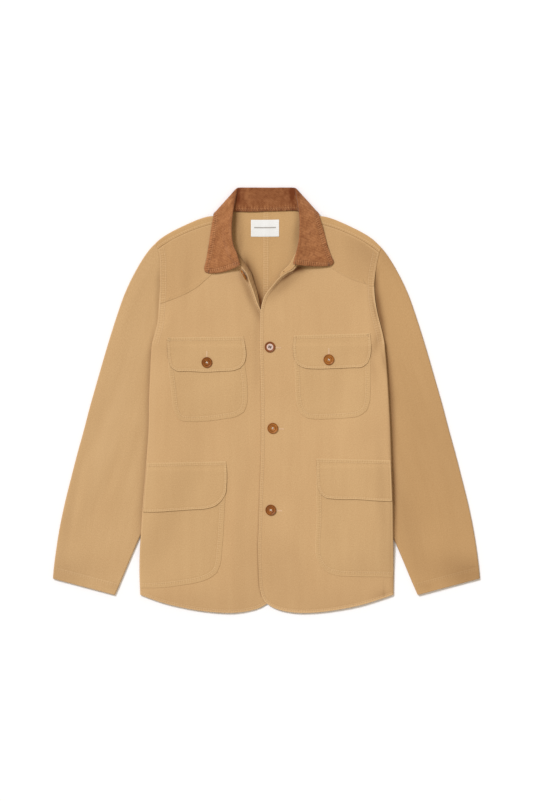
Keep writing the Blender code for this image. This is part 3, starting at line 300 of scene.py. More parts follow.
# Facing strips that show inside the opening: how far each reaches in from the free edge.
# Columns: edge x, edge y, inner x, inner y, drop.
FACING_RIGHT = (
    (-18, 190, -14.4, 191.5, 1.4), (-22.5, 202.7, -17.2, 205, 3.6), (-29.5, 221.2, -23, 224, 6.2),
    (-36.4, 239.6, -30, 244, 7), (-43, 249.4, -38, 256.5, 7), (-47, 253.8, -44, 264, 7),
)
FACING_LEFT = (
    (26.7, 234.5, 25, 236.6, 2), (34, 240, 29.5, 243.6, 4), (41, 243.9, 36.8, 250.8, 6),
    (47, 246.6, 43.5, 257.4, 6.6),
)

LABEL_CORNERS = (-29.2, 24.4, 310.8, 343.1)

# Columns: name, x, y, lies on.
BUTTONS = (
    ("button_front_top", 6.9, 100.5, "front_left"),
    ("button_front_middle", 12.3, -54.1, "front_left"),
    ("button_front_bottom", 8.6, -209.8, "front_left"),
    ("button_chest_right", -113.1, 71.1, "chest_flap_right"),
    ("button_chest_left", 119.0, 76.4, "chest_flap_left"),
)
# The neck button stands almost on edge against the raised opening.
NECK_BUTTON = {"x": -40.8, "y": 237.6, "z": 15.7, "lean": 72.0, "turn": 209.0}

# How far each front's edge stands up beside the armhole, by the sign of x there.
EDGE_LIFT = {-1: -0.4, 1: 1.7}

# Painted shadow that the body casts on the wearer's left sleeve beside it.
# Columns: height, share of painted shade, width.
PAINTED_SLEEVE_SHADOW = (
    (-260, 0.4, 4), (-190, 0.62, 5), (-100, 0.6, 6), (0, 0.62, 8), (70, 0.51, 6.5), (114, 0.42, 4),
    (152, 0.72, 7.5), (190, 0.77, 8.5), (222, 0.55, 6), (258, 0, 4),
)

# Soft folds of the cloth: a long low hill or hollow for each row.
# Columns: x, y, turn in degrees, length, width, height.
FOLDS = (
    (-158, 235, 84, 70, 12, 0.9), (-128, 250, 70, 60, 14, -0.6), (150, 235, 118, 60, 16, 0.8),
    (180, 225, 104, 55, 10, -0.6), (32, 150, 148, 40, 15, 0.7), (-50, 130, 96, 90, 16, 0.8),
    (-205, 120, 58, 45, 10, 0.9), (-192, -20, 88, 90, 12, 0.7), (-70, -30, 86, 110, 14, 0.9),
    (60, -40, 96, 120, 18, -0.7), (120, 10, 84, 90, 16, 0.8), (196, 20, 92, 130, 14, -0.6),
    (-60, -260, 88, 110, 12, 1), (-92, -270, 84, 90, 12, -0.8), (-140, -300, 95, 80, 16, 0.7),
    (50, -270, 94, 120, 18, 0.8), (140, -280, 86, 110, 20, -0.8), (-262, 180, 66, 90, 12, 0.9),
    (-292, 60, 72, 120, 14, 1.2), (-322, -60, 74, 110, 13, -1), (-350, -190, 76, 90, 14, 1.2),
    (-300, -160, 66, 70, 13, -1), (-262, -80, 72, 90, 13, 0.8), (276, 150, 112, 90, 14, 1),
    (312, 20, 108, 120, 15, 1.2), (300, -110, 100, 90, 14, -0.9), (344, -160, 104, 100, 15, 1.1),
    (366, -270, 106, 60, 12, -0.8),
)

# Painted shade and painted highlight on each piece of cloth: shadows beside raised edges, under the collar
# and in the open neck, a darker lower sleeve and darker hems, and highlights where the share is negative.
# Columns: x, y, turn in degrees, length, width, share.
PAINTED_SHADES = {
    "front_right": (
        (-33, 203, -70, 42, 7.5, 0.4), (-19, 105, 90, 80, 7, 0.12), (-217, -40, 87.4, 260, 9, -0.18),
        (-87, 240, 12, 26, 5, -0.3), (-10, -330, 0, 60, 70, 0.09), (-160, 262, 90, 60, 14, 0.05),
        (-130, -392, 0, 150, 34, 0.11), (-150, -230, 90, 110, 70, 0.02), (-14, 168, -80, 16, 5, 0.22),
    ),
    "front_left": (
        (36, 221, 40, 40, 10, 0.26), (39, 236, 38, 20, 5, 0.68), (14, 215, 44, 12, 4, 0.38),
        (59, 250, 6, 18, 7, 0.88), (20, -330, 0, 60, 70, 0.1), (130, -396, 0, 150, 28, 0.08),
        (192, 282, 125, 45, 22, 0.16), (203, 170, 97, 70, 8, 0.12), (222, -190, 93, 130, 12, 0.12),
        (211, 112, 66, 32, 9, 0.2), (238.5, -110, 92.2, 130, 5, 0.27), (240, -275, 90.5, 120, 6, 0.19),
        (203, 60, 100, 24, 6, 0.12), (222, -372, 0, 20, 10, 0.14), (223.5, -372, 90, 24, 3, 0.15),
        (209, 165, 104, 24, 3, 0.32), (223.5, 75, 100, 22, 3.6, 0.22), (190, -330, 30, 90, 50, 0.08),
        (172, 258, 110, 50, 16, 0.05),
    ),
    "back": (
        (-20, 216, -71.5, 52, 11.5, 0.66), (-36, 256, -69, 16, 4.5, 0.45), (-11.8, 184, -78, 16, 4, 0.95),
        (-52, 285, 84, 50, 6, 0.25), (-58, 345, 86, 44, 8, 0.55), (62, 335, 88, 46, 7, 0.24),
        (40, 235, 50, 40, 6, 0.12), (56, 315, 90, 24, 6, 0.12),
    ),
    "sleeve_right": (
        (-296, -50, 72, 130, 20, -0.24), (-376, -230, 78, 80, 10, 0.1), (-380, -330, 10, 60, 30, 0.12),
        (-230, 270, 60, 40, 20, -0.06), (-287, -354, 0, 12, 8, 0.1),
    ),
    "sleeve_left": (
        (226, 286, 122, 50, 26, 0.13), (330, -120, 106, 200, 60, 0.1), (268, -230, 104, 110, 26, 0.14),
        (380, -330, -10, 60, 34, 0.28), (300, -354, 0, 16, 8, 0.1),
    ),
}


class Side(Enum):
    """The wearer's right or left half; the value is the sign of x there."""

    RIGHT = -1
    LEFT = 1

    @property
    def word(self) -> str:
        """The half's name in lower case."""
        return self.name.lower()

    @property
    def column(self) -> int:
        """Column of this half's reach in the tables of the side."""
        return 1 if self is Side.RIGHT else 2

    def pick(self, right: object, left: object) -> object:
        """What belongs to this half."""
        return right if self is Side.RIGHT else left

    def line(self, rows: Table) -> list[tuple[float, float]]:
        """Plan points of this half from a table of heights and reaches."""
        return [(self.value * r[self.column], r[0]) for r in rows]


class Hold(Enum):
    """How a sheet of cloth is held."""

    LAID = "laid"


def ease(share: Array) -> Array:
    """Zero below 0, one above 1 and smooth between."""
    t = np.clip(share, 0.0, 1.0)
    return t * t * (3.0 - 2.0 * t)


def bell(distance: Array, width: float) -> Array:
    """One at zero distance, falling smoothly to nothing past twice the width."""
    return np.exp(-((np.asarray(distance) / width) ** 2))


def running(path: Array) -> Array:
    """Length along a line up to each of its points."""
    return np.concatenate([[0.0], np.cumsum(norm(np.diff(path, axis=0), axis=1))])


def length_of(path: Array) -> float:
    """Length of a line of points."""
    return float(norm(np.diff(path, axis=0), axis=1).sum())


def cubic(knots: Array, slope: Array, at: Array, wanted: Array) -> Array:
    """A smooth line through knots.

    Args:
        knots: the line's own points.
        slope: the line's direction at each.
        at: how far along each lies.
        wanted: the places to work out.

    Returns:
        A point for each place.
    """
    i = np.clip(np.searchsorted(at, wanted, side="right") - 1, 0, len(at) - 2)
    h = (at[i + 1] - at[i])[:, None]
    t = (wanted - at[i])[:, None] / h
    return (
        (2 * t**3 - 3 * t**2 + 1) * knots[i]
        + (t**3 - 2 * t**2 + t) * h * slope[i]
        + (3 * t**2 - 2 * t**3) * knots[i + 1]
        + (t**3 - t**2) * h * slope[i + 1]
    )


def curve(points: Table, shares: Array) -> Array:
    """Points on a smooth line through the given points.

    Args:
        points: the line's own points, two or three numbers each.
        shares: how far along the line, from 0 to 1.

    Returns:
        One point for each share.
    """
    knots = np.array(points, float)
    at = running(knots)
    slope = np.repeat(np.diff(knots, axis=0) / at[1], 2, axis=0)
    if len(knots) > 2:
        slope = np.gradient(knots, at, axis=0)
    line = cubic(knots, slope, at, np.linspace(0.0, at[-1], 16 * len(knots)))
    length = running(line)
    wanted = np.asarray(shares) * length[-1]
    return np.stack([np.interp(wanted, length, line[:, k]) for k in range(line.shape[1])], axis=-1)


def coons(lines: dict[str, Table], u: Array, v: Array) -> Array:
    """Points inside four boundary lines.

    Args:
        lines: the hem, top, side and edge lines; side and edge run from hem to top.
        u: shares across, a row of them for each v.
        v: shares from hem to top.

    Returns:
        A grid of plan points.
    """
    v = np.broadcast_to(np.asarray(v, float)[:, None], u.shape)
    hem, top, side, edge = (lines[k] for k in ("hem", "top", "side", "edge"))
    u3, v3 = u[..., None], v[..., None]
    sides = (1 - u3) * curve(side, v) + u3 * curve(edge, v)
    sides += (1 - v3) * curve(hem, u) + v3 * curve(top, u)
    lb, rb, lt, rt = (np.array(p[:2]) for p in (hem[0], hem[-1], top[0], top[-1]))
    low = (1 - u3) * lb + u3 * rb
    high = (1 - u3) * lt + u3 * rt
    return sides - (1 - v3) * low - v3 * high


def hills(table: Table, x: Array, y: Array) -> Array:
    """Sum of long soft hills.

    Args:
        table: x, y, turn in degrees, length, width and height of each hill.
        x, y: where.

    Returns:
        The height at each point.
    """
    total = np.zeros(np.shape(x))
    for cx, cy, turn, long, wide, high in table:
        a = math.radians(turn)
        dx, dy = x - cx, y - cy
        along = dx * math.cos(a) + dy * math.sin(a)
        across = -dx * math.sin(a) + dy * math.cos(a)
        total = total + high * bell(along, long) * bell(across, wide)
    return total


def smooth_noise(x: Array, y: Array, size: float, seed: int) -> Array:
    """Soft random hills between -1 and 1, the same on every run.

    Args:
        x, y: where, in millimetres.
        size: the width of a hill.
        seed: picks the pattern.

    Returns:
        The height at each point.
    """
    px, py = np.asarray(x) / size, np.asarray(y) / size
    ix, iy = np.floor(px).astype(int), np.floor(py).astype(int)
    fx, fy = ease(px - ix), ease(py - iy)

    def corner(dx: int, dy: int) -> Array:
        """A fixed random number for one corner of the grid."""
        n = (ix + dx) * 374761393 + (iy + dy) * 668265263 + seed * 2246822519
        n = (n ^ (n >> 13)) * 1274126177 & 0x7FFFFFFF
        return (n % 20011) / 10005.0 - 1.0

    low = corner(0, 0) * (1 - fx) + corner(1, 0) * fx
    high = corner(0, 1) * (1 - fx) + corner(1, 1) * fx
    return low * (1 - fy) + high * fy


@dataclass(frozen=True)
class Seam:
    """A sewn line and its rows of topstitching.

    The rows lie about a middle line, offset to the left of the way the path runs.
    """

    path: Array
    offset: float = 0.0
    half: float = 0.0

    @classmethod
    def along(cls, points: Table, offset: float = 0.0, half: float = 0.0) -> "Seam":
        """A seam along a smooth line through the points."""
        rough = curve(points, np.linspace(0, 1, 40))
        count = max(int(length_of(rough) / 3.0), 4)
        return cls(curve(points, np.linspace(0, 1, count)), offset, half)

    @classmethod
    def armhole(cls, side: Side) -> "Seam":
        """The twin rows beside an armhole."""
        return cls.along(side.line(ARMHOLE) + [SEAM_END[side.value]], offset=side.value * 7.0, half=4.2)

    def measured(self, x: Array, y: Array) -> tuple[Array, Array]:
        """Where points lie from the seam.

        Args:
            x, y: the points' plan places.

        Returns:
            The signed distance to the left of the middle line, and the length along the path.
        """
        across, along = np.full(np.shape(x), FAR), np.zeros(np.shape(x))
        lo, hi = self.path.min(0) - SEAM_REACH, self.path.max(0) + SEAM_REACH
        near = (x > lo[0]) & (x < hi[0]) & (y > lo[1]) & (y < hi[1])
        p = np.column_stack([x[near], y[near]])
        a, d = self.path[:-1], np.diff(self.path, axis=0)
        span, start = norm(d, axis=1), running(self.path)
        best, sign, place = np.full(len(p), FAR), np.ones(len(p)), np.zeros(len(p))
        for k in range(len(a)):
            rel = p - a[k]
            t = np.clip(rel @ d[k] / span[k] ** 2, 0, 1)
            off = rel - t[:, None] * d[k]
            dist = np.hypot(off[:, 0], off[:, 1])
            closer = dist < best
            best[closer] = dist[closer]
            turn = d[k][0] * rel[:, 1] - d[k][1] * rel[:, 0]
            sign[closer] = np.where(turn[closer] < 0, -1.0, 1.0)
            place[closer] = (start[k] + t * span[k])[closer]
        across[near], along[near] = np.where(best < FAR, best * sign - self.offset, FAR), place
        return across, along

    def hem_band(self, x: Array, y: Array, sign: int, reach: float) -> Array:
        """One past the row on the side of the sign, where the turned hem lies, and nothing elsewhere."""
        across, _ = self.measured(x, y)
        return ease((np.where(np.abs(across) < reach, sign * across, -9.0) + 0.8) / 1.6)

    def fade(self, along: Array) -> Array:
        """One on the seam's own length, falling to nothing at its two ends."""
        return ease(np.minimum(along, length_of(self.path) - along) / 4.0)

    @property
    def outward(self) -> float:
        """Sign of the distance on the side of the rows where the cloth's edge lies."""
        return -1.0 if self.offset > 0 else 1.0

    def rows(self) -> list[Array]:
        """Plan points of each row of stitches."""
        d = np.gradient(self.path, axis=0)
        left = np.column_stack([-d[:, 1], d[:, 0]]) / norm(d, axis=1)[:, None]
        offsets = {self.offset - self.half, self.offset + self.half}
        return [self.path + left * o for o in sorted(offsets)]


@dataclass
class Ground:
    """Heights of the flat jacket, and the pieces laid so far with the seams to sew on them."""

    trees: dict[str, BVHTree] = field(default_factory=dict)
    sewn: list[tuple[str, tuple[Seam, ...]]] = field(default_factory=list)

    def base(self, x: Array, y: Array) -> Array:
        """Underside of the body, over the tucked sleeves and the collar."""
        x, y = np.abs(np.asarray(x, float)), np.asarray(y, float)
        tucked = curve(SLEEVE_INNER, np.linspace(0, 1, 80))[::-1]
        reach = np.interp(y, tucked[:, 1], -tucked[:, 0], left=260.0, right=218.0)
        over = ease((x - reach + SLEEVE_SLOPE) / SLEEVE_SLOPE)
        down = ease((195.0 - y) / 98.0) * ease((y + 350.0) / 90.0)
        under = np.array(COLLAR_UNDER)
        neck = ease((y - np.interp(x, under[:, 0], under[:, 1]) + COLLAR_SLOPE) / COLLAR_SLOPE)
        return SLEEVE_LIFT * over * down + COLLAR_LIFT * neck

    def rise(self, x: Array, y: Array, side: Side) -> Array:
        """Extra height of a front near its raised free edge and neck seam."""
        rows = np.array([r for r in side.pick(EDGE_RIGHT, EDGE_LEFT) if r[2] > 0])
        line = curve(rows, np.linspace(0, 1, 90))
        flat = self.base(line[:, 0], line[:, 1]) + BODY_DEPTH
        gain = np.maximum(line[:, 2] - flat, 0.0)
        away, near = np.full(np.shape(x), FAR), np.zeros(np.shape(x))
        for (px, py, _), g in zip(line, gain):
            d = np.hypot(x - px, y - py)
            closer = d < away
            away, near = np.where(closer, d, away), np.where(closer, g, near)
        stand = 1.0 - ease(away / 9.0)
        swell = (1.0 - np.clip(away / NECK_REACH, 0, 1)) ** side.pick(2, 3)
        share = side.pick(0.9, 0.3)
        return near * (share * stand + (1.0 - share) * swell)

    def front(self, x: Array, y: Array, side: Side) -> Array:
        """Upper side of a front, before its folds."""
        x, y = np.asarray(x, float), np.asarray(y, float)
        depth = BODY_DEPTH + side.pick(0.0, OVERLAP_RISE)
        if side is Side.RIGHT:
            depth = depth - UNDERLAP_DROP * ease((x - UNDERLAP[0]) / (UNDERLAP[1] - UNDERLAP[0]))
        return self.base(x, y) + depth + self.rise(x, y, side)

    @staticmethod
    def reach(y: Array, side: Side) -> Array:
        """Distance from the centre to the side seam and armhole at each height."""
        rows = np.array(SIDE + ARMHOLE[1:])
        return np.interp(y, rows[:, 0], rows[:, side.column])

    def crown(self, x: Array, y: Array, side: Side) -> Array:
        """Upper side of a front with its lifted edge at the sleeve and its soft folds."""
        away = self.reach(y, side) - np.abs(x)
        strip = ease((y + 330.0) / 200.0) * (1.0 - ease((y - 215.0) / 50.0))
        z = self.front(x, y, side) + EDGE_LIFT[side.value] * strip * bell(away, 13.0) + hills(FOLDS, x, y)
        return z + 0.22 * smooth_noise(x, y, 46.0, 3) + 0.10 * smooth_noise(x, y, 17.0, 5)

    def laid(self, x: Array, y: Array, side: Side) -> Array:
        """Height on which a patch lies on a front, rounded over at the side seam."""
        z = self.crown(x, y, side)
        middle = self.base(x, y) + BODY_DEPTH / 2
        away = np.maximum(self.reach(y, side) - np.abs(x), 0.0)
        share = np.sqrt(1.0 - (1.0 - np.clip(away / (BODY_DEPTH / 2), 0, 1)) ** 2)
        return np.where(y < ARMHOLE[0][0], middle + (z - middle) * share, z)

    def lay(self, obj: Object, name: str, seams: tuple[Seam, ...] = ()) -> None:
        """Keeps a finished piece's faces, in metres, and its seams."""
        mesh = obj.data
        corners = [v.co for v in mesh.vertices]
        self.trees[name] = BVHTree.FromPolygons(corners, [tuple(p.vertices) for p in mesh.polygons])
        if seams:
            self.sewn.append((name, seams))

    def highest(self, names: tuple[str, ...], x: float, y: float) -> float:
        """Height of the highest of the named pieces at a point, or one cloth's thickness where none is."""
        start = Vector((x * MM, (y + FRAME_SHIFT) * MM, 0.1))
        hits = [self.trees[n].ray_cast(start, Vector((0, 0, -1)))[0] for n in names]
        return max([h.z / MM for h in hits if h is not None], default=CLOTH)


def grid_skin(rows: int, columns: int, first: int = 0, wrap: bool = False) -> Array:
    """Quads of a grid of points numbered row by row.

    Args:
        rows, columns: how many points each way.
        first: number of the first point.
        wrap: whether each row closes on itself.

    Returns:
        Four point numbers for each quad.
    """
    index = first + np.arange(rows * columns).reshape(rows, columns)
    if wrap:
        index = np.column_stack([index, index[:, 0]])
    corners = (index[:-1, :-1], index[:-1, 1:], index[1:, 1:], index[1:, :-1])
    return np.stack(corners, axis=-1).reshape(-1, 4)


def new_piece(name: str, points: Array, faces: list, finish: "Finish") -> Object:
    """A smooth piece that rides on the jacket's one body.

    Args:
        name: the object's name.
        points: its points, in millimetres.
        faces: point numbers of each face.
        finish: its material.

    Returns:
        The object.
    """
    mesh = bpy.data.meshes.new(name)
    mesh.from_pydata(((points + (0.0, FRAME_SHIFT, 0.0)) * MM).tolist(), [], faces)
    mesh.polygons.foreach_set("use_smooth", [True] * len(mesh.polygons))
    mesh.materials.append(finish.material())
    obj = bpy.data.objects.new(name, mesh)
    bpy.context.scene.collection.objects.link(obj)
    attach(obj, "root")
    return obj


@dataclass
class Cloth:
    """A thin shell between an outer and an inner skin, each a grid of points unless a skin is given."""

    name: str
    outer: Array
    inner: Array
    seams: tuple[Seam, ...] = ()
    # Painted shade where positive and painted highlight where negative, and on the collar also its darker
    # tone.
    painted_shade_and_tone: Array | float = 0.0
    # Rows of painted shade and painted highlight laid over this piece.
    painted_shades: Table = ()
    skin: Array | None = None
    weave: Array | None = None
    marked: tuple[Array, Array] | None = None

    def __post_init__(self) -> None:
        """Numbers the points row by row, and lays the weave along the plan where nothing else is given."""
        if self.skin is None:
            self.skin = grid_skin(*self.outer.shape[:2])
        self.outer, self.inner = self.outer.reshape(-1, 3), self.inner.reshape(-1, 3)
        self.painted_shade_and_tone = np.ravel(self.painted_shade_and_tone)
        if self.weave is None:
            self.weave = self.outer[:, :2]

    def faces(self) -> Array:
        """Quads of both skins and of the rims that join them, facing outwards."""
        count = len(self.outer)
        start, end = self.skin.ravel(), np.roll(self.skin, -1, axis=1).ravel()
        lone = ~np.isin(start * count + end, end * count + start)
        a, b = start[lone], end[lone]
        rim = np.stack([b, a, a + count, b + count], axis=-1)
        quads = np.concatenate([self.skin, self.skin[:, ::-1] + count, rim])
        first = self.outer[self.skin[:, 0]]
        spread = np.cross(self.outer[self.skin[:, 1]] - first, self.outer[self.skin[:, 3]] - first)
        gap = first - self.inner[self.skin[:, 0]]
        return quads if (spread * gap).sum() > 0 else quads[:, ::-1]

    def marks(self) -> tuple[Array, Array]:
        """Seam marks of every point.

        Returns:
            Length along, distance across and half width of the nearest seam; and how near it is.
        """
        if self.marked is not None:
            return self.marked
        mark, close = np.zeros((len(self.outer), 3)), np.full(len(self.outer), FAR)
        mark[:, 1] = UNMARKED
        for seam in self.seams:
            across, along = seam.measured(self.outer[:, 0], self.outer[:, 1])
            to_row = np.abs(np.abs(across) - seam.half) + 12.0 * (1.0 - seam.fade(along))
            nearer = to_row < close
            close[nearer] = to_row[nearer]
            half = np.full(len(along), seam.half)
            mark[nearer] = np.column_stack([along, across * seam.outward, half])[nearer]
        mark[close > 2 * UNMARKED] = (0.0, UNMARKED, 0.0)
        return mark, 1.0 - ease((close - MARK_REACH) / MARK_FADE)

    def build(self, finish: "Finish") -> Object:
        """Makes the shell, its marks for the material, and dresses it.

        Args:
            finish: the material's recipe.

        Returns:
            The shell's object.
        """
        obj = new_piece(self.name, np.concatenate([self.outer, self.inner]), self.faces().tolist(), finish)
        mark, near = self.marks()
        weave = np.column_stack([self.weave, np.zeros(len(self.weave))])
        # The table's painted shade, weakened where the piece paints a highlight, added to the piece's own
        # painted shade and highlight.
        shade = hills(self.painted_shades, self.outer[:, 0], self.outer[:, 1]) * (1.0 + np.minimum(self.painted_shade_and_tone, 0.0))
        painted_shade_and_tone = np.clip(shade + self.painted_shade_and_tone, -0.96, 0.96)
        for key, kind, entry, value in (
            ("seam", "FLOAT_VECTOR", "vector", mark), ("weave", "FLOAT_VECTOR", "vector", weave),
            ("near", "FLOAT", "value", near), ("painted_shade_and_tone", "FLOAT", "value", painted_shade_and_tone),
        ):
            layer = obj.data.attributes.new(key, kind, "POINT")
            layer.data.foreach_set(entry, np.concatenate([value, value]).astype(np.float32).ravel())
        return obj

    def area(self) -> float:
        """Square metres of the outer skin."""
        a, b, c, d = (self.outer[self.skin[:, k]] for k in range(4))
        return float(norm(np.cross(c - a, d - b), axis=-1).sum()) / 2 * MM * MM


def report(obj: Object) -> None:
    """Logs that a piece is made."""
    LOG.info("%s made with %d faces", obj.name, len(obj.data.polygons))


def dress(
    cloth: Cloth, finish: "Finish", node: str, size: tuple[float, float],
) -> Object:
    """Builds a piece of cloth and hides the solid it stands for.

    Args:
        cloth: its shell.
        finish: its material.
        node: the solid it stands for.
        size: width and length it was cut from, in metres.

    Returns:
        The piece.
    """
    obj = cloth.build(finish)
    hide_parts(node)
    whole = size[0] * size[1]
    area = min(max(cloth.area(), LEAST_AREA * whole), whole)
    report(obj)
    return obj


@dataclass
class Topstitch:
    """Rows of thread lying on the cloth, one object for each piece of cloth."""

    pitch: float = 3.3
    length: float = 2.5
    width: float = 0.62
    height: float = 0.42

    def spindle(self, at: Array, ahead: Array, up: Array) -> Array:
        """Points of one stitch: a low spindle along the row.

        Args:
            at: its middle.
            ahead: the row's direction there.
            up: the cloth's normal there.

        Returns:
            Twelve points, three rings of four.
        """
        wide = np.cross(up, ahead)
        rings = []
        for share, fat, sink in ((-0.5, 0.35, 0.16), (0.0, 1.0, 0.0), (0.5, 0.35, 0.16)):
            c = at + ahead * self.length * share + up * (self.height * 0.42 - sink)
            for sx, sz in ((-1, -1), (1, -1), (1, 1), (-1, 1)):
                rings.append(c + wide * sx * self.width / 2 * fat + up * sz * self.height / 2 * fat)
        return np.array(rings)

    def sew(self, name: str, rows: list[tuple[Array, Array]], finish: "Finish") -> Object | None:
        """Lays stitches along rows of points.

        Args:
            name: the object's name.
            rows: points and normals of each row, in millimetres.
            finish: the thread's material.

        Returns:
            One object that holds all the stitches, or nothing where there is no row.
        """
        quads = [(0, 3, 2, 1), (8, 9, 10, 11)]
        for ring in (0, 4):
            quads += [(ring + j, ring + (j + 1) % 4, ring + 4 + (j + 1) % 4, ring + 4 + j) for j in range(4)]
        points, faces = [], []
        for path, normal in rows:
            at = running(path)
            for s in np.arange(self.pitch / 2, at[-1] - self.pitch / 2, self.pitch):
                ends = [np.array([np.interp(s + d, at, path[:, k]) for k in range(3)]) for d in (-1.0, 1.0)]
                mid = np.array([np.interp(s, at, path[:, k]) for k in range(3)])
                up = np.array([np.interp(s, at, normal[:, k]) for k in range(3)])
                up /= norm(up)
                ahead = ends[1] - ends[0]
                ahead -= up * (ahead @ up)
                ahead /= norm(ahead)
                first = len(points) * 12
                points.append(self.spindle(mid, ahead, up))
                faces += [tuple(first + i for i in q) for q in quads]
        if not points:
            return None
        return new_piece(name, np.concatenate(points), faces, finish)

    def drop(self, rows: list[Array], tree: BVHTree) -> list[tuple[Array, Array]]:
        """Rows of plan points dropped from above on to a piece.

        Args:
            rows: plan points of each row.
            tree: the piece's faces.

        Returns:
            Points and normals of each stretch that lies on the piece.
        """
        out = []
        for row in rows:
            here = []
            for x, y in row:
                top = Vector((x * MM, (y + FRAME_SHIFT) * MM, 0.2))
                hit, normal, _, _ = tree.ray_cast(top, Vector((0, 0, -1)))
                if hit is None or normal.z < 0.2:
                    if len(here) > 3:
                        out.append(here)
                    here = []
                    continue
                here.append(((x, y, hit.z / MM), tuple(normal)))
            if len(here) > 3:
                out.append(here)
        return [(np.array([p for p, _ in r]), np.array([n for _, n in r])) for r in out]


class Wiring:
    """Places shader nodes in one tree and joins them."""

    def __init__(self, tree: NodeTree) -> None:
        """Keeps the tree."""
        self.tree = tree

    def node(self, kind: str, **settings: object) -> Node:
        """Adds a node and sets what it is given."""
        made = self.tree.nodes.new(kind)
        for key, value in settings.items():
            setattr(made, key, value)
        return made

    def put(self, socket: NodeSocket, value: object) -> None:
        """Joins a socket to another, or sets its value."""
        if isinstance(value, NodeSocket):
            self.tree.links.new(value, socket)
        else:
            socket.default_value = value

    def fill(self, node: Node, values: dict[str, object]) -> None:
        """Joins or sets several of a node's inputs."""
        for label, value in values.items():
            self.put(node.inputs[label], value)

    def math(self, operation: str, *values: object) -> NodeSocket:
        """A Math node on sockets and numbers."""
        made = self.node("ShaderNodeMath", operation=operation)
        for socket, value in zip(made.inputs, values):
            self.put(socket, value)
        return made.outputs[0]

    def scale(self, value: object, by: object, plus: object = None) -> NodeSocket:
        """A value times another, and a third added where there is one."""
        if plus is None:
            return self.math("MULTIPLY", value, by)
        return self.math("MULTIPLY_ADD", value, by, plus)

    def mix(self, factor: object, low: object, high: object) -> NodeSocket:
        """A colour between two colours."""
        made = self.node("ShaderNodeMix", data_type="RGBA")
        for index, value in ((0, factor), (6, low), (7, high)):
            self.put(made.inputs[index], value)
        return made.outputs[2]

    def noise(self, vector: object, scale: float, detail: float = 2.0) -> NodeSocket:
        """A noise value between 0 and 1."""
        made = self.node("ShaderNodeTexNoise")
        self.fill(made, {"Vector": vector, "Scale": scale, "Detail": detail})
        return made.outputs[0]

    def read(self, attribute: str, output: str) -> NodeSocket:
        """One of the piece's own marks."""
        return self.node("ShaderNodeAttribute", attribute_name=attribute).outputs[output]

    def bump(self, height: NodeSocket, distance: float) -> NodeSocket:
        """A normal from a height."""
        made = self.node("ShaderNodeBump")
        self.fill(made, {"Height": height, "Distance": distance})
        return made.outputs["Normal"]

    def parts(self, vector: NodeSocket) -> list[NodeSocket]:
        """The three numbers of a vector."""
        made = self.node("ShaderNodeSeparateXYZ")
        self.put(made.inputs[0], vector)
        return list(made.outputs)


@dataclass(frozen=True)
class Effect:
    """A shader node group that more than one finish uses; an input without a number is a vector."""

    name: str
    inputs: dict[str, float | None]
    outputs: tuple[str, ...]

    def start(self) -> tuple[NodeTree, Wiring, dict[str, NodeSocket], Node]:
        """Makes the group with its sockets.

        Returns:
            The group, its wiring, its input sockets by name, and its output node.
        """
        group = bpy.data.node_groups.new(self.name, "ShaderNodeTree")
        for label, value in self.inputs.items():
            kind = "NodeSocketVector" if value is None else "NodeSocketFloat"
            socket = group.interface.new_socket(label, in_out="INPUT", socket_type=kind)
            if value is not None:
                socket.default_value = value
        for label in self.outputs:
            group.interface.new_socket(label, in_out="OUTPUT", socket_type="NodeSocketFloat")
        wire = Wiring(group)
        given = wire.node("NodeGroupInput").outputs
        return group, wire, {s.name: s for s in given if s.name}, wire.node("NodeGroupOutput")


def weave_effect() -> NodeTree:
    """Twill weave: raised diagonal yarns, with the loose fibres that blur them."""
    effect = Effect("twill_weave", {"Vector": None, "Pitch": 0.9, "Slant": 1.0}, ("Height", "Light"))
    group, wire, given, out = effect.start()
    u, v, _ = wire.parts(given["Vector"])
    turn = wire.math("DIVIDE", 2 * math.pi, given["Pitch"])
    fuzz = wire.scale(wire.noise(given["Vector"], 0.9, 3.0), 2.4)
    lean = wire.scale(v, given["Slant"], u)
    rib = wire.math("SINE", wire.math("ADD", wire.scale(lean, turn), fuzz))
    yarn = wire.math("SINE", wire.scale(wire.scale(v, turn), 2.0))
    height = wire.scale(rib, 0.35, wire.scale(yarn, 0.15, 0.5))
    slub = wire.noise(given["Vector"], 0.55, 4.0)
    wire.fill(out, {"Height": height, "Light": wire.scale(height, 0.35, wire.scale(slub, 0.65))})
    return group


def tone_effect() -> NodeTree:
    """Uneven dye: broad patches, streaks along the warp and fine specks."""
    group, wire, given, out = Effect("dye_tone", {"Vector": None}, ("Tone",)).start()
    squeeze = wire.node("ShaderNodeVectorMath", operation="MULTIPLY")
    wire.put(squeeze.inputs[0], given["Vector"])
    squeeze.inputs[1].default_value = (1.0, 0.12, 1.0)
    broad = wire.noise(given["Vector"], 0.009, 2.0)
    streak = wire.noise(squeeze.outputs[0], 0.075, 2.0)
    fine = wire.noise(given["Vector"], 0.42, 3.0)
    wire.put(out.inputs["Tone"], wire.scale(fine, 0.56, wire.scale(broad, 0.27, wire.scale(streak, 0.17))))
    return group


def fall_off(wire: Wiring, distance: object, width: object) -> NodeSocket:
    """One at zero distance, falling smoothly to nothing past twice the width."""
    share = wire.math("POWER", wire.math("ABSOLUTE", wire.math("DIVIDE", distance, width)), 2.0)
    return wire.math("EXPONENT", wire.scale(share, -1.0))


